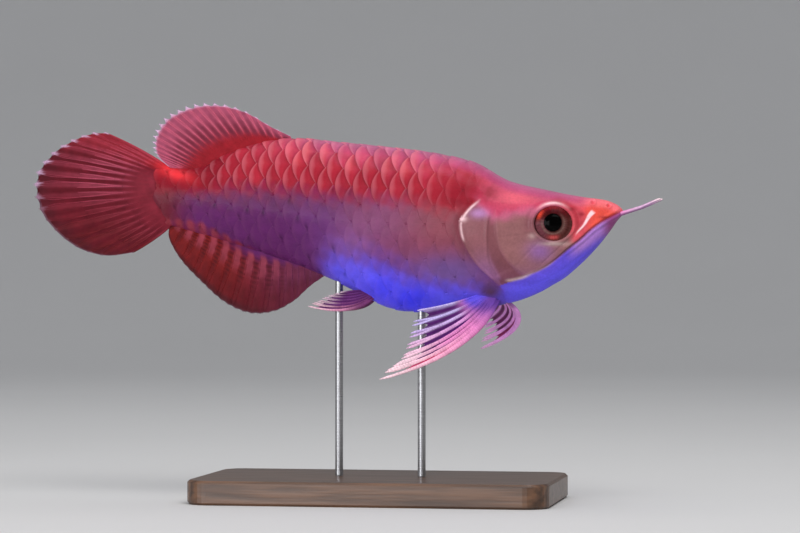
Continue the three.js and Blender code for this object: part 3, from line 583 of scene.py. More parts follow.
def head_colour(x, z):
    """Markings of the head at points of the side view, with painted blue light from below, painted highlights
    and painted shade along the mouth.
    """
    (cheek, _), (opercle, _) = measure(CHEEK_REAR, x, z), measure(OPERCLE_FRONT, x, z)
    (mouth, along), (jaw, _) = above(MOUTH_LINE, x, z), above(GULAR_LINE, x, z)
    eye = eye_distance(x, z)
    low = smooth(-z, -130, -118)
    band = smooth(-cheek, -0.5, 1.4) * smooth(opercle - 1.6 * low, -1.4, 0.8) * fade(z, 135, 142)
    crown = z - crown_edge_at(x) + 0.4 * wander(x, z)
    top = z - back_at(x)
    behind = 1 - 0.85 * smooth(x, 94, 113)
    snout = smooth(x + 0.35 * (z - 140), 91.5, 97) * smooth(mouth, -0.6, 0.3)
    tip = mix(ORANGE, CORAL, smooth(top, -5, -1))
    freckles = sum(spot(x, z, *at) for at in FRECKLES)
    chin = layered(
        # painted blue light from below, violet to blue, in this and the next layer
        mix(VIOLET, BLUE_LIGHT_TINT, 0.5),
        (BLUE_LIGHT_TINT, 0.8 * smooth(-jaw, -7, 1.5) * (1 - 0.5 * smooth(x, 92, 112))),
        # painted highlight: lilac along the front of the jaw
        (LILAC, 0.9 * smooth(x, 93, 102) * smooth(mouth + 0.1 * (x - 100), -6.5, -2.5)),
        (mix(MAUVE, ROSE, 0.3), 0.85 * smooth(x, 110, 116)),
    )
    # painted highlight on the orbit's upper rim
    brow_highlight = ridge(eye - 11.0, 0.9) * ridge(x - EYE["x"] + 0.5, 5.5) * smooth(z, 143, 146)
    # painted highlight along the keel line low on the cheek, and where it fades
    keel = ridge(measure(JAW_KEEL, x, z)[0], 0.75) * smooth(x, 63.5, 67)
    keel_fades = smooth(-x, -79, -73) + 0.3 * smooth(x, 73, 79) * smooth(-x, -90, -84)
    colour = layered(
        OPERCLE,
        (BEIGE, smooth(cheek, -1, 2)),
        # painted blue light from below: violet over the lower head
        (VIOLET, 0.35 * smooth(-z, -122, -106)),
        # painted highlight: a lilac spot on the lower cheek
        (mix(LILAC, VIOLET, 0.5), 0.6 * spot(x, z, 82, 124.4, 6, 4.6)),
        (mix(LILAC, OPERCLE, 0.4), 0.5 * spot(x, z, 54, 114.5, 7, 8)),
        (DARK_ROSE, (0.52 + 0.16 * low) * band),
        (MAUVE_BROWN, 0.75 * spot(x, z, 77.5, 138.5, 3.2, 5)),
        (mix(mix(ROSE, LAVENDER, 0.3), ROSE, smooth(crown, 0, 5)), smooth(crown, -3.6, 3)),
        # coral behind the eye, partly the skin's colour and partly a painted highlight
        (CORAL, 0.3 * spot(x, z, 70, 150.5, 11, 4)),
        (mix(SNOUT_ROSE, tip, smooth(x + 0.2 * (z - 140), 102, 108)), 0.92 * snout),
        # painted highlight: a rose and lavender sheen along the top of the head, in this and the next layer
        (TOP_SHEEN_ROSE, 0.8 * smooth(top, -6.5, -2) * behind),
        (LAVENDER, 0.3 * smooth(top, -2.5, 0) * behind),
        (CRIMSON, 0.6 * ridge(eye - 12.3, 1.8) * smooth(x, 84, 92) * smooth(z, 134, 139)),
        (DEEP_CRIMSON, np.minimum(1, 0.7 * freckles)),
        # painted highlight down the snout
        (PALE_PINK, snout_highlight(x, z)),
        (chin, smooth(-mouth, -0.4, 0.7)),
        # painted shade along the crease of the mouth
        (DARK_ROSE, 0.7 * ridge(mouth, 0.45) * window(along, 0.28, 0.4, 0.76, 0.88)),
        # painted blue light from below, up the throat
        (BLUE_LIGHT_TINT, throat_blue_light(x, z) * smooth(x, 44, 56)),
        # painted highlight: a pale pink crescent over the eye
        (PALE_PINK, 0.95 * brow_highlight),
        (IVORY, 0.8 * spot(x, z, EYE["x"] + 0.5, 128.3, 6, 1.0)),
        (IVORY, 0.5 * spot(x, z, 78.3, 132, 1.8, 1.4)),
        (mix(LILAC, LAVENDER, 0.5), 0.85 * spot(x, z, 52.6, 143.2, 4.4, 2.4)),
        # painted highlight: a pale line along the keel
        (IVORY, 0.75 * keel * keel_fades),
    )
    return shared_marks(colour, x, z)


def whole_colour(x, z):
    """Markings of trunk and head, which run into each other over the nape."""
    nape = smooth(z, *NAPE)
    return mix(body_colour(x, z), head_colour(x, z), smooth(gill_at(x, z), -0.4 - 10 * nape, 0.6 + 5 * nape))


def skin_colour(x, z):
    """Markings of the whole skin, with a painted highlight along the gill cover's edge in two bright strokes.
    """
    rim = gill_at(x, z) - 0.5
    # painted highlight: two bright strokes and a bright spot along the gill cover's edge
    gill_edge_highlight = np.maximum.reduce((
        ridge(rim, 0.55 + 0.35 * ridge(z - 141, 1.2)) * window(z, 138.6, 140, 146, 151),
        spot(x, z, 44.2, 140.4, 2.0, 1.3),
        0.8 * ridge(rim, 0.6) * window(z, 128.5, 131.5, 138.4, 139.4),
    ))
    return mix(whole_colour(x, z), PALE_PINK, 0.95 * gill_edge_highlight)


# Meshes
def in_scene(name, data):
    """A new object of the scene."""
    made = bpy.data.objects.new(name, data)
    bpy.context.scene.collection.objects.link(made)
    return made


def surface(name, points, faces, material):
    """A smooth-shaded object from points in metres."""
    mesh = bpy.data.meshes.new(name)
    mesh.from_pydata(points, [], faces)
    mesh.shade_smooth()
    mesh.materials.append(material)
    return in_scene(name, mesh)


def new_mesh(name, points, faces, material, colours, fields=None, patches=None):
    """A piece of the model from points in millimetres, with colours, fields and patches, their places on
    the bake's map, on its points."""
    made = surface(name, (np.asarray(points) * MM).tolist(), [list(map(int, f)) for f in faces], material)
    layer = made.data.color_attributes.new("Paint", "FLOAT_COLOR", "POINT")
    rgba = np.ones((len(points), 4), np.float32)
    rgba[:, :3] = colours
    layer.data.foreach_set("color", rgba.ravel())
    for field, values in (fields or {}).items():
        layer = made.data.attributes.new(field, "FLOAT", "POINT")
        layer.data.foreach_set("value", np.asarray(values, np.float32))
    if patches is not None:
        layer = made.data.uv_layers.new(name="OFBake")
        corners = np.zeros(len(made.data.loops), np.int32)
        made.data.loops.foreach_get("vertex_index", corners)
        layer.data.foreach_set("uv", np.asarray(patches, np.float32)[corners].ravel())
    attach(made, "root")
    return made


def circle(count):
    """Angles of points evenly spaced round a circle."""
    return np.arange(count) / count * 2 * np.pi


def grid_faces(rows, columns, start=0, closed=False):
    """Quads of a grid of points, rows by columns, whose columns may close into rings."""
    r, c = np.meshgrid(np.arange(rows - 1), np.arange(columns if closed else columns - 1), indexing="ij")
    n = (c + 1) % columns
    here, there = start + r * columns, start + (r + 1) * columns
    return np.stack((here + c, here + n, there + n, there + c), -1).reshape(-1, 4)


def cone_ended(rows, columns):
    """Faces of rings of points, closed at both ends by cones to the two points after them."""
    faces = grid_faces(rows, columns, closed=True).tolist()
    size = rows * columns
    for c in range(columns):
        n = (c + 1) % columns
        faces.append([n, c, size])
        faces.append([size - columns + c, size - columns + n, size + 1])
    return faces


def flat_ended(rows, columns, start=0):
    """Faces of rings of points, closed by flat caps."""
    faces = grid_faces(rows, columns, start, closed=True).tolist()
    last = start + (rows - 1) * columns
    faces.append(list(range(start, start + columns))[::-1])
    faces.append(list(range(last, last + columns)))
    return faces


def turned_over(faces):
    return [face[::-1] for face in faces]


def rim_of(rows, columns):
    """Indices of the points round the edge of a grid, in order."""
    grid = np.arange(rows * columns).reshape(rows, columns)
    return np.concatenate((grid[0], grid[1:, -1], grid[-1, -2::-1], grid[-2:0:-1, 0]))


# Skin of the whole body
def head_relief(x, y, z):
    """Height of the head's folds and plates above the smooth body."""
    gill = gill_at(x, z)
    cheek, cheek_share = measure(CHEEK_REAR, x, z)
    opercle, opercle_share = measure(OPERCLE_FRONT, x, z)
    mouth, along = above(MOUTH_LINE, x, z)
    upper, share = above(MAXILLA_TOP, x, z)
    gular, _ = above(GULAR_LINE, x, z)
    eye = eye_distance(x, z)
    side = smooth(np.abs(y), 1.5, 4)

    cover = window(z, 107, 112, 146, 154)
    height = (0.05 + 0.65 * cover) * smooth(gill, -0.1, 0.7) - 0.25 * ridge(gill - 1.9, 0.5) * cover
    cheeks = fade(z, 140, 147) * smooth(mouth, -0.2, 1.2)
    band = smooth(-cheek, -0.2, 0.7) * smooth(opercle, -0.7, 0.3) * cheeks
    height -= 0.55 * band * fade(cheek_share, 0.93, 1) * fade(opercle_share, 0.95, 1)
    height += (0.25 * ridge(cheek - 0.9, 0.8) + 0.2 * ridge(opercle + 1.0, 0.7) * cover) * cheeks
    for line in CHEEK_SUTURES:
        suture, at = measure(line, x, z)
        height -= 0.22 * ridge(suture, 0.45) * window(at, 0, 0.06, 0.94, 1)

    lips = 0.5 * ridge(mouth - 1.25, 0.75) + 0.45 * ridge(mouth + 1.15, 0.7) - 0.14 * ridge(mouth + 2.5, 0.5)
    height += lips * fade(along, 0.45, 0.62) * side
    height -= (0.35 + 0.6 * fade(along, 0.55, 0.8)) * ridge(mouth, 0.42) * fade(along, 0.8, 1)
    height -= 0.28 * ridge(upper, 0.45) * window(share, 0, 0.1, 0.9, 1) * side
    height -= 0.12 * ridge(gular, 0.6) * window(x, 66, 72, 106, 111)

    height += 0.75 * ridge(eye - 10.3, 0.85) * (1 - 0.4 * smooth(-z, -133, -128))
    height -= 0.3 * ridge(eye - 12.4, 0.8)
    height -= ORBIT_DEPTH * fade(eye, ORBIT_RADIUS - 1.1, ORBIT_RADIUS - 0.3)
    for at_x, at_z, radius in NOSTRILS:
        away = np.hypot(x - at_x, z - at_z)
        height += (0.28 * ridge(away - radius - 0.35, 0.4) - 1.2 * fade(away, 0.4 * radius, radius)) * side
    return height


def skin(material):
    """One skin from the tail to the snout, with closer sections over the head."""
    trunk = np.arange(SKIN_FROM, HEAD_FROM, 2.0)
    head = np.arange(HEAD_FROM, SNOUT_FROM, 0.4)
    xs = np.concatenate((trunk, head, np.linspace(head[-1], BODY_FRONT, 20)[1:]))
    around = np.arange(2 * SKIN_SIDES) / SKIN_SIDES
    x, turn = np.meshgrid(xs, around, indexing="ij")
    q = fold(turn)
    points = body.look_up(body.points, x, q)
    z = points[..., 2]
    gill, nape = gill_at(x, z), smooth(z, *NAPE)
    under_scales = (1 - nape) * fade(gill, -0.2, 0.2) + nape * fade(gill, -9, -1)
    height = head_relief(x, points[..., 1], z) * smooth(x, HEAD_FROM, HEAD_FROM + 3)
    height -= SKIN_DEPTH * under_scales
    height *= np.sqrt(np.clip((BODY_FRONT - x) / 3, 0, 1))
    points = points + body.look_up(body.normals, x, q) * height[..., None]
    points[..., 1] *= np.where(turn <= 1, 1, -1) * (1 - 0.82 * smooth(-tail_at(x, z), -2, 3.5))
    colours = np.vstack((skin_colour(x, z).reshape(-1, 3), [GARNET], [ORANGE]))
    points = np.vstack((points.reshape(-1, 3), [TAIL_PLUG], [SNOUT_TIP]))
    made = new_mesh("fish_skin", points, turned_over(cone_ended(*x.shape)), material, colours)
    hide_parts("head", "lower_jaw", "trunk", "tail_stalk", "gill_cover_right", "gill_cover_left")


# Scales
def scale_x(lengths):
    return SCALE_FRONT - SCALE_LENGTH * lengths + SCALE_SHORTENING * lengths**2


def boldness(x, z):
    """How strongly the scales stand out: on the red back and tail more than on the silky flank."""
    back = smooth(z - red_edge_at(x), -6, 5) * (1 - 0.85 * smooth(-x, 80, 102))
    return np.maximum(0.1, back) * (1 - 0.88 * smooth(x, 16, 44))


def plate(column, row, rise, draw):
    """One plate, as its points in body terms: x, rows up from the flank line, the height, how far it has
    come from where the plates before it end, 0, to its rear edge, 1, and the place across it."""
    s, v = np.meshgrid(PLATE_ALONG, PLATE_ACROSS, indexing="ij")
    run = 0.5 - SCALE_CORNER
    size = 1 + draw.uniform(-0.03, 0.03)
    edge = column / 2 - run * (v * size) ** 2 + draw.uniform(-0.02, 0.02)
    shown = 0.5 - run * v**2 + run * (1 - np.abs(v)) ** 2
    length = shown + SCALE_TUCK
    x = scale_x(edge - length * (1 - s))
    grown = (s * length - SCALE_TUCK) / shown
    rear = 1 - 0.2 * smooth(s, 0.955, 1)
    height = (rise * (1 - v**2) + 0.04) * np.where(grown > 0, grown, 2.2 * grown) * rear
    height += (0.02 + 0.2 * rise) * np.sin(np.pi * np.clip(grown, 0, 1)) * (1 - v**2)
    height += draw.uniform(-0.02, 0.02)
    if row == 0:  # the tube of the lateral line
        height += 0.07 * ridge(v, 0.12) * window(grown, 0.2, 0.4, 0.8, 0.95)
    return x, row + 1.04 * v, height, np.clip(grown, 0, 1), v


def patch_at(column, share):
    """The middle of a plate's patch on the bake's map."""
    return 0.06 + 0.88 * column / SCALE_COLUMNS, 0.06 + 0.88 * share


class Coat:
    """Plates gathered into one mesh."""

    def __init__(self, side, seed):
        self.side = side
        self.draw = np.random.default_rng(seed)
        self.points, self.colours, self.fields, self.patches, self.faces = [], [], [], [], []
        self.rim = rim_of(len(PLATE_ALONG), len(PLATE_ACROSS))
        self.start = 0

    def add(self, x, q, lift, grown, v, patch):
        """One plate: its cover, walls down into the skin, and a floor. Its tone is mostly its own."""
        rows, columns = x.shape
        rim, draw, size = self.rim, self.draw, x.size
        z = body.look_up(body.points, x, fold(q))[..., 2]
        gill, tail, nape = gill_at(x, z), tail_at(x, z), smooth(z, *NAPE)
        settle = (1 - nape * fade(-gill, 2, 20)) * (0.2 + 0.8 * smooth(tail, 1, 14))
        inside = smooth(-gill, -0.2, 1.6) * (1 - nape) + smooth(-gill, 1, 9) * nape
        inside = inside * smooth(tail, -2, 0.5)
        lift = lift * inside * settle - (1.0 - 0.6 * nape) * (1 - inside)
        cover = body.at(x, q, lift).reshape(-1, 3)
        wall = body.at(x, q, np.full(x.shape, -SKIN_DEPTH - 0.3)).reshape(-1, 3)[rim]
        block = np.vstack((cover, wall, wall.mean(0, keepdims=True)))
        block[:, 1] *= -self.side
        full = np.concatenate((np.arange(size), rim, [size // 2]))
        markings = whole_colour(x, z) if x.max() > NAPE_FROM else body_colour(x, z)
        own = markings[PLATE_MIDDLE]
        bold = boldness(x, z)
        tone = 1 + draw.uniform(-1, 1) * (0.015 + 0.1 * bold)
        paint = mix(markings, own, 0.05 + 0.35 * bold) * tone[..., None]
        # painted highlight: a coral sheen on random plates near the top of the back
        top_sheen = draw.uniform() ** 1.5 * bold * smooth(z - back_at(x), -17, -9) * smooth(x, -75, -50)
        paint = mix(paint, CORAL, 0.4 * top_sheen * smooth(grown, 0.2, 0.7))
        mark = ridge((v - draw.choice((-0.7, 0.7))) / 0.2, 1) * ridge((grown - 0.45) / 0.22, 1)
        mark = mark * (draw.uniform() < 0.3) * smooth(-x, -5, 25) * smooth(-bold, -0.95, -0.6)
        paint = paint * (1 - 0.5 * mark)[..., None]
        self.points.append(block)
        self.colours.append(paint.reshape(-1, 3)[full])
        fields = (grown, v, np.full(x.shape, draw.uniform()), bold)
        self.fields.append(np.stack([field.ravel()[full] for field in fields]))
        u_patch = patch[0] + SCALE_PATCH[0] * (np.repeat(PLATE_ALONG, columns) - 0.5)
        v_patch = patch[1] + SCALE_PATCH[1] * np.tile(PLATE_ACROSS, rows)
        self.patches.append(np.stack((u_patch, v_patch), -1)[full])
        under = size + np.arange(len(rim))
        next_under = np.roll(under, -1)
        walls = np.stack((np.roll(rim, -1), rim, under, next_under), -1)
        floor = np.stack((next_under, under, np.full(len(rim), under[-1] + 1)), -1)
        for group in (grid_faces(rows, columns), walls, floor):
            self.faces.extend((group[:, :: -self.side] + self.start).tolist())
        self.start += len(block)

    def make(self, name, material):
        names = ("grown", "across", "seed", "bold")
        fields = dict(zip(names, np.concatenate(self.fields, axis=1)))
        points, colours, patches = np.vstack(self.points), np.vstack(self.colours), np.vstack(self.patches)
        made = new_mesh(name, points, self.faces, material, colours, fields, patches)


def scale_side(side, material):
    """The plates of one side as one mesh."""
    coat = Coat(side, SIDE_SEEDS[side])
    for column in range(SCALE_COLUMNS + 1):
        for row in range(-SCALE_ROWS, SCALE_ROWS + 1):
            centre = scale_x(column / 2 - 0.35)
            up = row * row_height_at(centre)
            spare = 0.3 * row_height_at(centre)
            half_down = body.flank(centre)
            half_up = body.length(centre) - half_down
            if (column + row) % 2 or up > half_up + spare or -up > half_down + spare:
                continue
            rise = 0.06 + 0.26 * boldness(centre, flank_at(centre) + up)
            x, rows_up, lift, grown, v = plate(column, row, rise, coat.draw)
            up = body.flank(x) + rows_up * row_height_at(x)
            inward = np.minimum(up, body.length(x) - up)
            lift = lift - (0.4 + lift) * smooth(-inward, 0, 1.5)
            q = np.clip(up / body.length(x), 0, 1)
            z = body.look_up(body.points, x, q)[..., 2]
            if gill_at(x, z).min() > -1.5 or tail_at(x, z)[PLATE_MIDDLE] < 0.3:
                continue
            coat.add(x, q, lift, grown, v, patch_at(column, (row + SCALE_ROWS) / (2 * SCALE_ROWS)))
    coat.make(f"scales_{SIDE_NAMES[side]}", material)


def scale_middle(name, middle, stretches, material):
    """A row of plates astride the midline, at the belly, 0, or the back, 1."""
    coat = Coat(RIGHT, MIDDLE_SEEDS[middle])
    for column in range(SCALE_COLUMNS + 1):
        x, _, lift, grown, v = plate(column, 1, 0.32, coat.draw)
        on_stretch = any(x.min() > rear and x.max() < front for rear, front in stretches)
        if column % 2 or not on_stretch:
            continue
        q = middle + v * 0.62 * row_height_at(x) / body.length(x)
        coat.add(x, q, lift + 0.12 * middle, grown, v, patch_at(column, 0.5))
    coat.make(name, material)


# Eyes
def eyeball(side, material):
    """An oblate eye: a domed lens over the pupil, and a rim round the iris."""
    radius, depth = EYE["radius"], EYE["depth"]
    front = np.concatenate((
        np.linspace(0, PUPIL_RADIUS, 14),
        np.linspace(PUPIL_RADIUS + 0.2, IRIS_RADIUS, 20),
        np.linspace(IRIS_RADIUS + 0.2, radius, 5),
    ))
    out = depth * np.sqrt(np.clip(1 - (front / radius) ** 2, 0, 1))
    out += 0.25 * fade(front, 3.2, 4.4) + 0.12 * ridge(front - 8.9, 0.4)
    angle = circle(EYE_SIDES)
    rear = front[::-1][1::4]
    reach = np.concatenate((front[1:], rear))[:, None]
    lift = np.concatenate((out[1:], -depth * np.sqrt(1 - (rear / radius) ** 2)))[:, None]
    rings = np.stack((reach * np.cos(angle), lift + 0 * angle, reach * np.sin(angle)), -1)
    points = np.vstack((rings.reshape(-1, 3), [[0, out[0], 0]], [[0, -depth, 0]]))
    seen = np.concatenate((front[1:], np.full(len(rear), radius)))
    reach = np.concatenate((np.repeat(seen, len(angle)), [0], [radius]))
    turned = np.concatenate((np.tile(angle, len(rings)), [0, 0]))
    turn = np.radians(EYE["turn"])
    x = points[:, 0] * np.cos(turn) + points[:, 1] * np.sin(turn)
    y = points[:, 1] * np.cos(turn) - points[:, 0] * np.sin(turn)
    inset = body_half_at(EYE["x"], EYE["z"]) - EYE["sunk"]
    points = np.stack((x + EYE["x"], side * (y + inset), points[:, 2] + EYE["z"]), -1)
    faces = cone_ended(len(rings), len(angle))
    if side == RIGHT:
        faces = turned_over(faces)
    word = SIDE_NAMES[side]
    fields = {"reach": reach, "turned": turned}
    made = new_mesh(f"eye_{word}_ball", points, faces, material, eye_colour(reach, turned), fields)
    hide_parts(f"eye_{word}")


def eye_colour(radius, angle):
    """A black pupil, a thin paler ring, and a dark iris, browner at its sides, with an orange patch behind
    and above the pupil, a pink one below it, and painted shade over the top of the iris."""
    across, up = radius * np.cos(angle), radius * np.sin(angle)
    within = np.clip(1 - (radius / 10) ** 2, 0, 1)
    radius = np.hypot(across + 0.9 * within, up - 0.6 * within)

    def patch(at_angle, long, at_radius, wide):
        return ridge((angle - at_angle) / long, 1) * ridge((radius - at_radius) / wide, 1)

    ring = np.maximum(smooth(-up, -3.5, 2), 0.8 * smooth(across, 0, 4))
    return layered(
        IRIS_BROWN,
        (IRIS_MAUVE, smooth(-across, 1, 5) * smooth(-up, -4, 0)),
        (IRIS_TAUPE, smooth(across, 0, 5) * smooth(-up, -5, -1)),
        (IRIS_BROWN, 0.75 * ridge(radius - 7.6, 0.9) * smooth(across, 1, 5)),
        (IRIS_RING, 0.85 * ridge(radius - 5.5, 0.55) * ring),
        (IRIS_ORANGE, patch(2.55, 0.28, 8.0, 1.2)),
        # painted shade over the top of the iris, in this and the next layer
        (DEEP_CRIMSON, 0.8 * patch(1.7, 0.8, 7.8, 1.6)),
        (IRIS_SHADE, 0.9 * patch(1.5, 0.9, 5.6, 1.4)),
        (IRIS_PINK, patch(4.66, 0.36, 7.2, 1.0)),
        (DARK_ROSE, smooth(radius, 9.2, 9.9) * (0.35 + 0.65 * smooth(across, -5, 3))),
        (PUPIL, fade(radius, PUPIL_RADIUS - 0.2, PUPIL_RADIUS + 0.1)),
    )


# Fins
class Fan:
    """The middle surface of a fin: t goes from its first ray to its last, and s from root to tip. A pace
    above 1 brings rays that are evenly spaced in t closer together towards the last."""

    def __init__(self, root_at, bend_at, tip_at, pace):
        self.root_at, self.bend_at, self.tip_at, self.pace = root_at, bend_at, tip_at, pace

    def at(self, t, s):
        f, s = np.broadcast_arrays(1 - (1 - np.clip(t, 0, 1)) ** self.pace, s)
        return arc(self.root_at(f), self.bend_at(f), self.tip_at(f), s)

    def normal(self, t, s):
        near = 0.002
        t = np.clip(t, near, 1 - near)
        across = self.at(t + near, s) - self.at(t - near, s)
        along = self.at(t, s + near) - self.at(t, s - near)
        return unit(np.cross(along, across))


def midline_curve(points):
    return curve_through([(x, 0, z) for x, z in points])


def midline_fan(root_at, tips, sway, bow, pace):
    """A fin of the midline, whose tips sway to one side and whose rays bow in its own plane."""
    tip_curve = midline_curve(tips)

    def tip_at(f):
        tip = tip_curve(f)
        tip[..., 1] = sway * np.sin(np.pi * f)
        return tip

    def bend_at(f):
        root, tip = root_at(f), tip_curve(f)
        amount = (bow[0] + (bow[1] - bow[0]) * f)[..., None]
        across = np.stack((tip[..., 2] - root[..., 2], 0 * f, root[..., 0] - tip[..., 0]), -1)
        return (root + tip) / 2 + across * amount

    return Fan(root_at, bend_at, tip_at, pace)


def on_profile(profile_at, front, rear, sunk):
    def root_at(f):
        x = front + (rear - front) * f
        return np.stack((x, 0 * x, profile_at(x) + sunk), -1)

    return root_at


def paired_fan(shape, mirror, pace):
    tip_curve = curve_through(shape["tips"])
    flip = np.array([1, mirror, 1])
    first, last = np.array(shape["first"]), np.array(shape["last"])

    def between(k):
        return lambda f: (first[k] + (last[k] - first[k]) * f[..., None]) * flip

    return Fan(between(0), between(1), lambda f: tip_curve(f) * flip, pace)


def oval_rings(centre, across, up, wide, thick, sides):
    """Rings round a path, wide in one direction and thick in the other."""
    angle = circle(sides)
    rings = centre[:, None] + across[:, None] * (wide[:, None] * np.cos(angle))[..., None]
    return rings + up[:, None] * (thick[:, None] * np.sin(angle))[..., None]


def ray_paths(rays, splits):
    """Paths of all rays as (number, first share of length, last share, how t runs along it, its order).
    All but the first and the last split in two at each (share, spread in pitches, whether the branches
    close up at the tip)."""
    pitch = 1 / (rays - 1)
    stops = [0, *(split[0] for split in splits), 1]
    paths = [(0, 0, 1, lambda s: 0 * s, 0)]
    for i in range(1, rays - 1):
        branches = [()]
        for order in range(len(stops) - 1):
            for turns in branches:
                def run(s, t0=i * pitch, turns=turns):
                    t = np.full(np.shape(s), t0)
                    for turn, (share, spread, closes) in zip(turns, splits):
                        away = smooth(s, share - 0.02, min(1, share + 0.3))
                        away = away * (1 - 0.8 * smooth(s, 0.82, 1)) if closes else away
                        t = t + turn * spread * pitch * away
                    return t
                end = stops[order + 1] + (0.02 if order < len(stops) - 2 else 0)
                paths.append((i, stops[order], end, run, order))
            branches = [(*turns, turn) for turns in branches for turn in (-1, 1)]
    paths.append((rays - 1, 0, 1, lambda s: 0 * s + 1, 0))
    return paths


def fin_rays(name, fan, material, paint, look, flesh):
    """The rays of a fin, which stand out on both its faces, with a stronger first one."""
    breadths = look.get("breadths", (1,))
    points, faces, colours, runs = [], [], [], []
    start = 0
    for number, begin, end, t_along, order in ray_paths(look["rays"], look["splits"]):
        count = max(8, int(26 * (end - begin)))
        s = np.linspace(begin, end, count)
        t = t_along(s)
        lead = number == 0
        base = look["radius"] * (1 - 0.25 * s) * look.get("branch", 0.7) ** order
        base = base * np.sqrt(np.clip((1.002 - s) / 0.04, 0.05, 1))
        breadth = look["lead"][0] * (1 - 0.65 * s) / 0.8 if lead else breadths[number % len(breadths)]
        wide = base * breadth * (0.6 + 0.4 * smooth(s, 0, 0.3))
        thick = base * (look["lead"][1] if lead else 1) * smooth(s, -0.05, 0.3) + flesh(t, s)
        centre, normal = fan.at(t, s * 0.998), fan.normal(t, s * 0.998)
        across = np.cross(normal, unit(np.gradient(centre, axis=0)))
        sides = 10 if lead else 8
        rings = oval_rings(centre, across, normal, wide, thick, sides)
        points.append(rings.reshape(-1, 3))
        faces.extend(flat_ended(count, sides, start))
        colours.append(np.repeat(paint(t, s, 1.0), sides, axis=0))
        length = np.linalg.norm(fan.at(t[:1], np.ones(1)) - fan.at(t[:1], np.zeros(1)))
        runs.append(np.repeat(s * length, sides))
        start += count * sides
    fields = {"run": np.concatenate(runs)}
    return new_mesh(name, np.vstack(points), faces, material, np.vstack(colours), fields)


def fin_web(name, fan, material, paint, look, flesh):
    """The web of a fin, waved from ray to ray, with an edge that dips between them."""
    gaps = look["rays"] - 1
    columns = WEB_PER_RAY * gaps + 1
    t = np.linspace(0, 1, columns)
    phase = 2 * np.abs(t * gaps - np.round(t * gaps))
    reach = look["web"] + look["scallop"] * (1 - phase) ** 1.3
    reach = reach + look.get("full_rear", 0) * (0.992 - reach) * smooth(t, 0.45, 0.65)
    tt, shares = np.meshgrid(t, np.linspace(0, 1, WEB_ROWS), indexing="ij")
    ss = shares * reach[:, None]
    middle, normal = fan.at(tt, ss), fan.normal(tt, ss)
    half = WEB_HALF + 0.07 * (1 - phase[:, None]) * (1 - shares) + flesh(tt, ss)
    half = half * np.sqrt(np.clip((1.004 - shares) / 0.03, 0.1, 1))
    wave = WEB_WAVE * np.sin(tt * gaps * np.pi) * smooth(ss, 0.2, 0.7)
    sheets = [(middle + normal * (wave + k * half)[..., None]).reshape(-1, 3) for k in (-1, 1)]
    quads, rim, size = grid_faces(columns, WEB_ROWS), rim_of(columns, WEB_ROWS), tt.size
    wall = np.stack((rim, np.roll(rim, -1), np.roll(rim, -1) + size, rim + size), -1)
    faces = np.concatenate((quads[:, ::-1], quads + size, wall)).tolist()
    near_ray = 0.5 - 0.5 * np.repeat(smooth(phase, 0.2, 0.7), WEB_ROWS)
    shade = paint(tt.ravel(), ss.ravel(), near_ray)
    fields = {"edge": np.tile(shares.ravel(), 2)}
    return new_mesh(name, np.vstack(sheets), faces, material, np.vstack((shade, shade)), fields)


def fin(name, fan, node, materials, paint, look, flesh_at):
    """A fin as two pieces: a thin web that thickens to flesh at its root, and its rays."""
    def flesh(t, s):
        return flesh_at(t) * np.clip(1 - s / look["fade"], 0, 1) ** 1.8

    made = fin_rays(name + "_rays", fan, materials[0], paint, look, flesh)
    made = fin_web(name + "_web", fan, materials[1], paint, look, flesh)
    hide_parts(node)


def dorsal_paint(t, s, ray):
    """A wide dark red fleshy base, dark gaps between pinker rays, a mauve rear and pale lavender tips."""
    web = mix(FIN_DARK, FIN_MAUVE, 0.2 + 0.6 * smooth(s, 0.4 + 0.15 * t, 0.85))
    line = mix(FIN_RED, FIN_PINK, smooth(s, 0.25, 0.6))
    line = mix(line, FIN_MAUVE, 0.5 * smooth(t, 0.4, 0.9) * smooth(s, 0.3, 0.8))
    return layered(
        web,
        (line, ray),
        (FIN_FLESH, fade(s, 0.18 + 0.06 * (1 - t), 0.42)),
        (FIN_PALE, 0.95 * smooth(s, 0.9, 0.965)),
    )


def caudal_paint(t, s, ray):
    """Scarlet along the top of its root, then dark red with pinker rays, browner below, and a thin pale
    margin, wider on the upper half."""
    upper = fade(t, 0.4, 0.62)
    line = layered(
        TAIL_RED,
        (FIN_PINK, (0.22 + 0.4 * upper) * smooth(s, 0.12, 0.3) * (1 - 0.5 * smooth(s, 0.45, 0.8))),
        (TAIL_OLIVE, 0.6 * smooth(t, 0.5, 0.75) * smooth(s, 0.2, 0.6)),
    )
    return layered(
        mix(TAIL_DARK, TAIL_RED, 0.45),
        (line, ray),
        (mix(GARNET, TAIL_RED, 0.5), 0.8 * fade(s, 0.03, 0.13) * smooth(t, 0.1, 0.3)),
        (mix(TAIL_RED, FIN_PINK, 0.14), 0.7 * fade(s, 0.12, 0.36) * smooth(t, 0.12, 0.3)),
        (FIN_RED, 0.6 * fade(t, 0.05, 0.3) * smooth(s, 0.1, 0.3)),
        (SCARLET, 0.92 * fade(t, 0.02, 0.2) * fade(s, 0.02, 0.36)),
        (EDGE_DARK, 0.3 * smooth(s, 0.8, 0.94) * smooth(t, 0.2, 0.4)),
        (FIN_PALE, 0.9 * smooth(s, 0.965 - 0.04 * ray, 0.985 - 0.02 * ray) * upper),
        (EDGE_PALE, 0.8 * smooth(s, 0.965, 0.985) * (1 - upper)),
    )


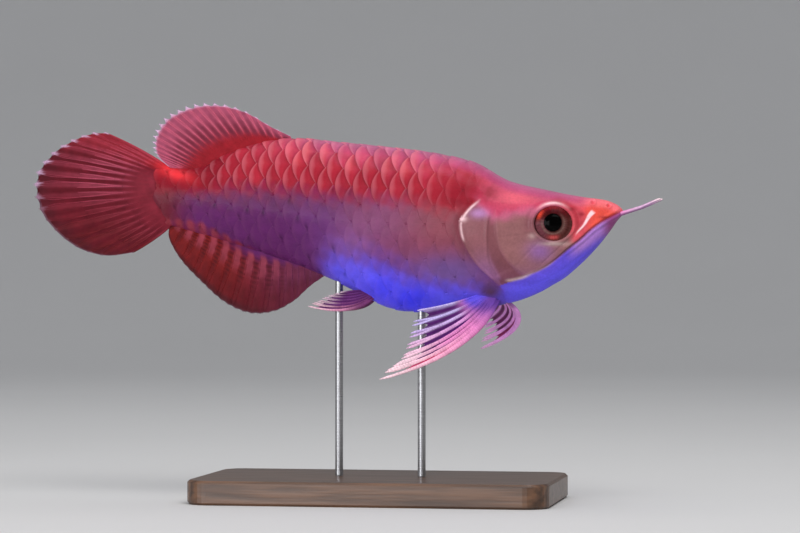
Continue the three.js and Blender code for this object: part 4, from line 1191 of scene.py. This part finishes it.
def anal_paint(t, s, ray):
    """Rust red, browner below and mauve in front, in pale lobes two rays wide at the root with dark dotted
    lines between them, and a dusky edge with a thin pale line."""
    gap = pair_gap(t * (ANAL_LOOK["rays"] - 1) + 0.08 * np.sin(s * 40))
    lobe = smooth(gap, 0.25, 0.7)
    striped = smooth(t, 0.16, 0.34)
    dots = 0.62 + 0.38 * np.sin(s * 90 + 9 * t)
    return layered(
        mix(HEATHER, GARNET, 0.15 + 0.4 * smooth(t, 0, 0.12)),
        (ANAL_RED, smooth(t, 0.15, 0.6)),
        (ANAL_DARK, 0.7 * smooth(s, 0.4, 0.8) * ridge(t - 0.45, 0.45)),
        (FIN_PINK, 0.4 * lobe * fade(s, 0.3, 0.55) * striped),
        (ANAL_STREAK, 0.75 * ridge(gap, 0.55) * dots * striped * fade(s, 0.5, 0.8)),
        (ANAL_DARK, 0.35 * (1 - ray) * smooth(s, 0.15, 0.35)),
        (mix(MAUVE, DUSK, 0.5), 0.9 * fade(s, 0.08, 0.28 - 0.1 * lobe) * fade(t, 0.45, 0.7)),
        (EDGE_DARK, 0.55 * smooth(s, 0.84, 0.95) * smooth(t, 0.25, 0.5)),
        (EDGE_PALE, 0.5 * smooth(s, 0.96, 0.985)),
    )


def pectoral_paint(t, s, ray):
    """Broad pink leading rays with a magenta line between, then pale violet rays over dark purple."""
    line = layered(
        ORCHID,
        (BLUSH, fade(t, 0.1, 0.35) * smooth(s, 0.25, 0.7)),
        (PALE_VIOLET, smooth(t, 0.35, 0.85) * smooth(s, 0.15, 0.5)),
        (PEARL, 0.8 * smooth(s, 0.55, 0.95) * fade(t, 0.3, 0.8)),
    )
    rise = 0.13 + 0.2 * t
    return layered(
        mix(PLUM, MAGENTA, fade(t, 0.1, 0.17)),
        (line, ray),
        (mix(VIOLET, ORCHID, 0.45), 0.9 * fade(s, rise, rise + 0.2)),
        # painted blue light from below at the root of the fin
        (mix(VIOLET, BLUE_LIGHT_TINT, smooth(t, 0.45, 1)), 0.95 * fade(s, rise - 0.08, rise + 0.08)),
    )


def far_lit_paint(t, s, ray):
    """The other pectoral fin: broad lilac rays over purple, painted brighter than the near fin's as painted
    light that shines through it.
    """
    return layered(
        pectoral_paint(t, s, ray),
        # painted light: webs and rays painted brighter than the near fin's, standing in for light through the
        # fin
        (mix(PLUM, MAGENTA, 0.3), 0.7 * (1 - ray) * smooth(s, 0.1, 0.3)),
        (FAR_LIT_LILAC, 0.92 * ray * smooth(s, 0.08, 0.25) * (1 - 0.4 * smooth(s, 0.7, 1))),
    )


def pelvic_paint(t, s, ray):
    """Translucent mauve-pink, with pale pointed tips."""
    line = layered(
        mix(MAUVE, VIOLET, 0.35),
        (TAUPE, 0.5 - 0.3 * smooth(t, 0.1, 0.6)),
        (BLUSH, 0.55 * fade(t, 0.02, 0.3) * smooth(s, 0.25, 0.7)),
        (PEARL, 0.6 * smooth(s, 0.6, 0.97)),
    )
    return mix(mix(PLUM, MAUVE, 0.8), line, ray)


# Barbels
def barbel(side, material):
    """A finely ringed feeler, dark below, that thins to a rounded tip."""
    s = np.linspace(0, 1, 40)
    sides = 16
    centre = arc(*(np.array(BARBEL) * (1, side, 1)), s)
    centre[:, 2] += 0.25 * np.sin(s * 9) * s
    along = unit(np.gradient(centre, axis=0))
    up = unit(np.cross(np.cross(along, [0, 0, 1]), along))
    half = (1 - 0.45 * s) * np.sqrt(np.clip((1.003 - s) / 0.05, 0.02, 1))
    half = (half + 0.5 * np.clip(1 - s / 0.12, 0, 1) ** 2) * (1 + 0.03 * np.sin(s * 80))
    rings = oval_rings(centre, up, np.cross(up, along), half, 0.75 * half, sides)
    colours = layered(
        ORANGE,
        (ORCHID, smooth(s, 0, 0.08)),
        (FIN_PALE, 0.75 * smooth(s, 0.1, 0.5)),
        (PEARL, smooth(s, 0.7, 1)),
    )
    below = 0.75 * smooth(-np.cos(circle(sides)), -0.3, 0.8) + 0 * s[:, None]
    colours = mix(colours[:, None], MAUVE, below).reshape(-1, 3)
    word = SIDE_NAMES[side]
    faces = turned_over(flat_ended(len(s), sides))
    made = new_mesh(f"barbel_{word}_feeler", rings.reshape(-1, 3), faces, material, colours)
    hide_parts(f"barbel_{word}")


# Materials
class Shader:
    """A Principled material, with short calls for the nodes that it is put together from."""

    def __init__(self, name, **values):
        self.material = bpy.data.materials.new(name)
        self.material.use_nodes = True
        self.tree = self.material.node_tree
        self.surface = self.tree.nodes["Principled BSDF"].inputs
        for socket, value in values.items():
            self.surface[socket.replace("_", " ")].default_value = value

    def node(self, kind, inputs=None, **settings):
        made = self.tree.nodes.new(kind)
        for key, value in settings.items():
            setattr(made, key, value)
        for key, value in (inputs or {}).items():
            self.put(made.inputs[key], value)
        return made

    def put(self, socket, value):
        if isinstance(value, bpy.types.NodeSocket):
            self.tree.links.new(value, socket)
        else:
            socket.default_value = value

    def attribute(self, name):
        return self.node("ShaderNodeAttribute", attribute_name=name).outputs["Fac"]

    def paint(self):
        return self.node("ShaderNodeAttribute", attribute_name="Paint").outputs["Color"]

    def place(self):
        return self.node("ShaderNodeTexCoord").outputs["Object"]

    def stretched(self, *scale):
        return self.node("ShaderNodeMapping", {"Vector": self.place(), "Scale": scale}).outputs[0]

    def vector(self, x, y, z):
        return self.node("ShaderNodeCombineXYZ", {"X": x, "Y": y, "Z": z}).outputs[0]

    def noise(self, scale, detail=3, roughness=0.5, vector=None):
        inputs = {"Vector": vector or self.place(), "Scale": scale, "Detail": detail, "Roughness": roughness}
        return self.node("ShaderNodeTexNoise", inputs).outputs["Fac"]

    def bands(self, direction, **inputs):
        inputs = {key.replace("_", " "): value for key, value in inputs.items()}
        made = self.node("ShaderNodeTexWave", inputs, wave_type="BANDS", bands_direction=direction)
        return made.outputs["Fac"]

    def math(self, operation, a, b=0.0):
        return self.node("ShaderNodeMath", {0: a, 1: b}, operation=operation).outputs[0]

    def times(self, a, b):
        return self.math("MULTIPLY", a, b)

    def plus(self, a, b):
        return self.math("ADD", a, b)

    def range(self, value, low, high, to_low=0.0, to_high=1.0):
        inputs = {"Value": value, "From Min": low, "From Max": high, "To Min": to_low, "To Max": to_high}
        return self.node("ShaderNodeMapRange", inputs).outputs[0]

    def blend(self, a, b, factor, kind="MIX"):
        made = self.node("ShaderNodeMix", data_type="RGBA", blend_type=kind)
        self.put(made.inputs["Factor"], factor)
        for key, value in (("A", a), ("B", b)):
            self.put(made.inputs[key], value if isinstance(value, bpy.types.NodeSocket) else (*value, 1))
        return made.outputs["Result"]

    def shade(self, colour, factor, low, high):
        """Colour times a grey that runs from low to high with the factor."""
        grey = self.range(factor, 0, 1, low, high)
        made = self.node("ShaderNodeCombineColor", {"Red": grey, "Green": grey, "Blue": grey})
        return self.blend(colour, made.outputs[0], 1.0, "MULTIPLY")

    def mottle(self, colour, noise, low, high, spread=0.2):
        """Colour times a grey from low to high, by what of a noise is within the spread of its middle."""
        return self.shade(colour, self.range(noise, 0.5 - spread, 0.5 + spread), low, high)

    def colour(self, value):
        self.put(self.surface["Base Color"], value)

    def rough(self, factor, low, high, at_low, at_high):
        self.put(self.surface["Roughness"], self.range(factor, low, high, at_low, at_high))

    def bump(self, height, distance):
        made = self.node("ShaderNodeBump", {"Height": height, "Distance": distance, "Strength": 1.0})
        self.put(self.surface["Normal"], made.outputs[0])


def skin_material():
    """Wet, finely pored skin over bone."""
    m = Shader("head_skin_paint", Coat_Weight=0.1, Coat_Roughness=0.12, Specular_IOR_Level=0.05)
    blotch = m.noise(90, 4, 0.6)
    fine = m.noise(900, 2, 0.6)
    m.colour(m.mottle(m.mottle(m.paint(), blotch, 0.88, 1.1), fine, 0.94, 1.05, 0.15))
    m.rough(blotch, 0.3, 0.7, 0.34, 0.48)
    place = {"Vector": m.place(), "Scale": 850.0}
    pores = m.node("ShaderNodeTexVoronoi", place, feature="SMOOTH_F1").outputs["Distance"]
    m.bump(m.plus(m.times(pores, 0.6), m.times(m.noise(300, 4), 0.8)), 0.00014)
    return m.material


def scale_material():
    """Pearly plates: a rear part lit pinker by a painted highlight, painted shade in a dark seam at its edge
    and over the front part that comes out from under the plates before it, all stronger on the bold scales
    of the back, and fine rays that fan out from the root."""
    m = Shader("scale_plates", Coat_Weight=0.08, Coat_Roughness=0.15, Specular_IOR_Level=0.05)
    grown, across, seed, bold = (m.attribute(name) for name in ("grown", "across", "seed", "bold"))
    cloud = m.noise(160, 4, 0.6)
    colour = m.mottle(m.paint(), cloud, 0.88, 1.1)
    # painted highlight: the rear part of each plate is lightened pink where its edge catches the light
    pale = m.blend(colour, (1.0, 0.42, 0.5), 0.14)
    colour = m.blend(colour, pale, m.times(m.range(grown, 0.55, 0.85), bold))
    # painted shadow: a dark seam along each plate's rear edge
    colour = m.shade(colour, m.range(grown, 0.95, 1), 1, m.range(bold, 0.1, 1, 1, 0.8))
    # painted shade: the front part, where the plate comes out from under the plates before it, is darker
    m.colour(m.shade(colour, m.range(grown, 0, 0.3), m.range(bold, 0.1, 1, 1, 0.74), 1))
    m.rough(cloud, 0.3, 0.7, 0.3, 0.44)
    place = m.vector(m.times(grown, 2), m.times(across, 9), m.times(seed, 40))
    rings = m.bands("X", Vector=place, Scale=3.2, Distortion=1.5, Detail=2.0)
    m.bump(m.plus(m.noise(1.6, 3, 0.6, place), m.times(rings, 0.25)), 0.00013)
    return m.material


def eye_material():
    """A glossy eye with fine fibres in its iris."""
    m = Shader("eye_gloss", Roughness=0.35, Coat_Weight=0.06, Coat_Roughness=0.01, Specular_IOR_Level=0.0)
    reach, turned = m.attribute("reach"), m.attribute("turned")
    x, y = (m.times(m.math(wave, turned), 9.0) for wave in ("COSINE", "SINE"))
    fibres = m.noise(1.4, 4, 0.65, m.vector(x, y, m.times(reach, 0.25)))
    iris = m.times(m.range(reach, 4.3, 5.0), m.range(reach, 9.6, 9.2))
    m.colour(m.shade(m.paint(), m.times(m.range(fibres, 0.35, 0.65), iris), 0.86, 1.4))
    m.bump(m.times(fibres, iris), 0.00025)
    return m.material


def ray_material(name, roughness):
    """Jointed bony rays."""
    m = Shader(name, Roughness=roughness, Specular_IOR_Level=0.05)
    joints = m.math("FRACT", m.times(m.attribute("run"), 0.75))
    gap = m.times(m.range(joints, 0, 0.16), m.range(joints, 1, 0.9))
    m.colour(m.mottle(m.shade(m.paint(), gap, 0.84, 1.02), m.noise(260, 3), 0.85, 1.12))
    m.bump(gap, 0.0001)
    return m.material


def web_material(name, alpha):
    """Thin skin between the rays, a little translucent towards its edge."""
    m = Shader(name, Roughness=0.45, Specular_IOR_Level=0.04)
    m.colour(m.mottle(m.paint(), m.noise(180, 4, 0.6), 0.78, 1.18))
    m.put(m.surface["Alpha"], m.range(m.attribute("edge"), 0.45, 1, 1, alpha))
    m.bump(m.noise(420, 4, 0.6), 0.00012)
    return m.material


def barbel_material():
    m = Shader("barbel_skin", Roughness=0.4, Coat_Weight=0.2, Coat_Roughness=0.15)
    m.colour(m.mottle(m.paint(), m.noise(500, 3), 0.85, 1.1))
    m.bump(m.noise(900, 3), 0.0001)
    return m.material


def wood_material():
    """Dark oiled wood, its grain along the base."""
    m = Shader("oiled_wood", Coat_Weight=0.2, Coat_Roughness=0.25)
    along = m.stretched(1.0, 9.0, 9.0)
    warp = m.noise(14, 4, 0.6, along)
    rings = m.bands("Y", Vector=along, Scale=7.0, Distortion=6.0, Detail=3.0, Detail_Scale=1.6)
    pores = m.noise(420, 2, 0.5, m.stretched(0.06, 1.0, 1.0))
    grain = m.plus(m.times(rings, 0.6), m.times(warp, 0.4))
    colour = m.blend((0.050, 0.022, 0.011), (0.15, 0.070, 0.034), grain)
    m.colour(m.shade(colour, m.range(pores, 0.35, 0.6), 0.62, 1.1))
    m.rough(grain, 0, 1, 0.46, 0.32)
    m.bump(m.plus(m.times(grain, 0.35), pores), 0.00012)
    return m.material


def steel_material():
    """Brushed steel, its marks round the rod."""
    m = Shader("brushed_steel", Metallic=1.0)
    brush = m.noise(320, 3, 0.6, m.stretched(0.4, 0.4, 16.0))
    m.colour(m.blend((0.26, 0.26, 0.27), (0.42, 0.42, 0.43), m.range(brush, 0.3, 0.7)))
    m.rough(brush, 0.3, 0.7, 0.26, 0.4)
    m.bump(brush, 0.00004)
    return m.material


def floor_material():
    m = Shader("studio_floor", Roughness=0.8)
    m.colour(m.blend((0.66, 0.66, 0.66), (0.70, 0.70, 0.70), m.noise(3, 2)))
    return m.material


# The camera and the studio
def aim(made, place, target):
    made.location = place
    made.rotation_euler = (Vector(target) - Vector(place)).to_track_quat("-Z", "Y").to_euler()


def camera():
    data = bpy.data.cameras.new("camera")
    data.lens = 135
    data.sensor_width = 36
    made = in_scene("camera", data)
    aim(made, CAMERA_PLACE, CAMERA_TARGET)
    bpy.context.scene.camera = made


def area_light(name, place, size, power, colour=(1, 1, 1)):
    data = bpy.data.lights.new(name, "AREA")
    data.shape = "RECTANGLE"
    data.size, data.size_y = size
    data.energy = power
    data.color = colour
    aim(in_scene(name, data), place, LIGHT_TARGET)


def studio():
    """A pale floor that rises into a bowl far behind the model, and soft lights."""
    bend = np.linspace(0, np.pi / 2, 16)
    outline = [(0.02, 0), (0.6, 0), (1.2, 0)]
    outline += [(1.8 + 2.2 * np.sin(a), 2.2 - 2.2 * np.cos(a)) for a in bend]
    outline.append((4.0, 3.2))
    angles = circle(96)
    points = [(r * np.cos(a), r * np.sin(a), z) for r, z in outline for a in angles]
    faces = grid_faces(len(outline), len(angles), closed=True)[:, ::-1].tolist()
    faces.append(list(range(len(angles))))
    surface("floor", points, faces, floor_material())
    area_light("key", (0.45, -0.75, 1.5), (1.1, 1.1), 16, (1, 0.98, 0.96))
    area_light("fill", (-0.6, -1.3, 0.1), (1.4, 0.7), 19, (0.96, 0.97, 1))
    area_light("top", (-0.3, 0.4, 1.8), (1.4, 1.0), 5)
    world = bpy.data.worlds.new("studio_air")
    world.use_nodes = True
    air = world.node_tree.nodes["Background"].inputs
    air["Color"].default_value = (0.93, 0.95, 1.0, 1)
    air["Strength"].default_value = 0.4
    bpy.context.scene.world = world
    bpy.context.scene.view_settings.view_transform = "Standard"


# The model
camera()
studio()
skin(skin_material())
plates, eye_gloss, feeler = scale_material(), eye_material(), barbel_material()
for side in (RIGHT, LEFT):
    scale_side(side, plates)
    eyeball(side, eye_gloss)
    barbel(side, feeler)
scale_middle("scales_ridge", 1, RIDGE_STRETCHES, plates)
scale_middle("scales_keel", 0, KEEL_STRETCHES, plates)

red = (ray_material("red_rays", 0.45), web_material("red_web", 0.92))
pale = (ray_material("pale_rays", 0.4), web_material("pale_web", 0.88))
caudal_root = midline_curve(CAUDAL_ROOT)


def ends_thin(half):
    """Half thickness of a fin's flesh at its root, less towards both ends of the root."""
    return lambda t: half * smooth(t, 0, 0.15) * smooth(1 - t, 0, 0.12)


def tail_flesh(t):
    """Half thickness of the tail's flesh, as thick as the stalk that it comes from."""
    root = caudal_root(t)
    return np.maximum(0.15, body_half_at(root[..., 0], root[..., 2]) - 0.7)


dorsal_root, anal_root = on_profile(back_at, -45.5, -97, -3), on_profile(belly_at, *ANAL_ROOT, 3)
for name, root_at, tips, sway, bow, look, paint, flesh_at in (
    ("dorsal", dorsal_root, DORSAL_TIPS, 1.6, (0.1, 0), DORSAL_LOOK, dorsal_paint, ends_thin(2.3)),
    ("anal", anal_root, ANAL_TIPS, -1.6, (0, -0.08), ANAL_LOOK, anal_paint, ends_thin(2.3)),
    ("caudal", caudal_root, CAUDAL_TIPS, 5, (0.06, -0.06), CAUDAL_LOOK, caudal_paint, tail_flesh),
):
    fan = midline_fan(root_at, tips, sway, bow, look["pace"])
    fin(name, fan, f"{name}_fin", red, paint, look, flesh_at)
for name, shape, mirror, look, paint in (
    ("pectoral_right", PECTORAL_RIGHT, 1, PECTORAL_LOOK, pectoral_paint),
    ("pectoral_left", PECTORAL_LEFT, 1, FAR_PECTORAL_LOOK, far_lit_paint),
    ("pelvic_right", PELVIC_RIGHT, 1, PELVIC_LOOK, pelvic_paint),
    ("pelvic_left", PELVIC_RIGHT, -1, PELVIC_LOOK, pelvic_paint),
):
    fan = paired_fan(shape, mirror, look["pace"])
    fin(name, fan, name.replace("_", "_fin_"), pale, paint, look, ends_thin(1.2))

wood, steel = wood_material(), steel_material()
for node, finish in (("stand_base", wood), ("stand_rod_front", steel), ("stand_rod_rear", steel)):
    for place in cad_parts[node].material_slots:
        place.material = finish
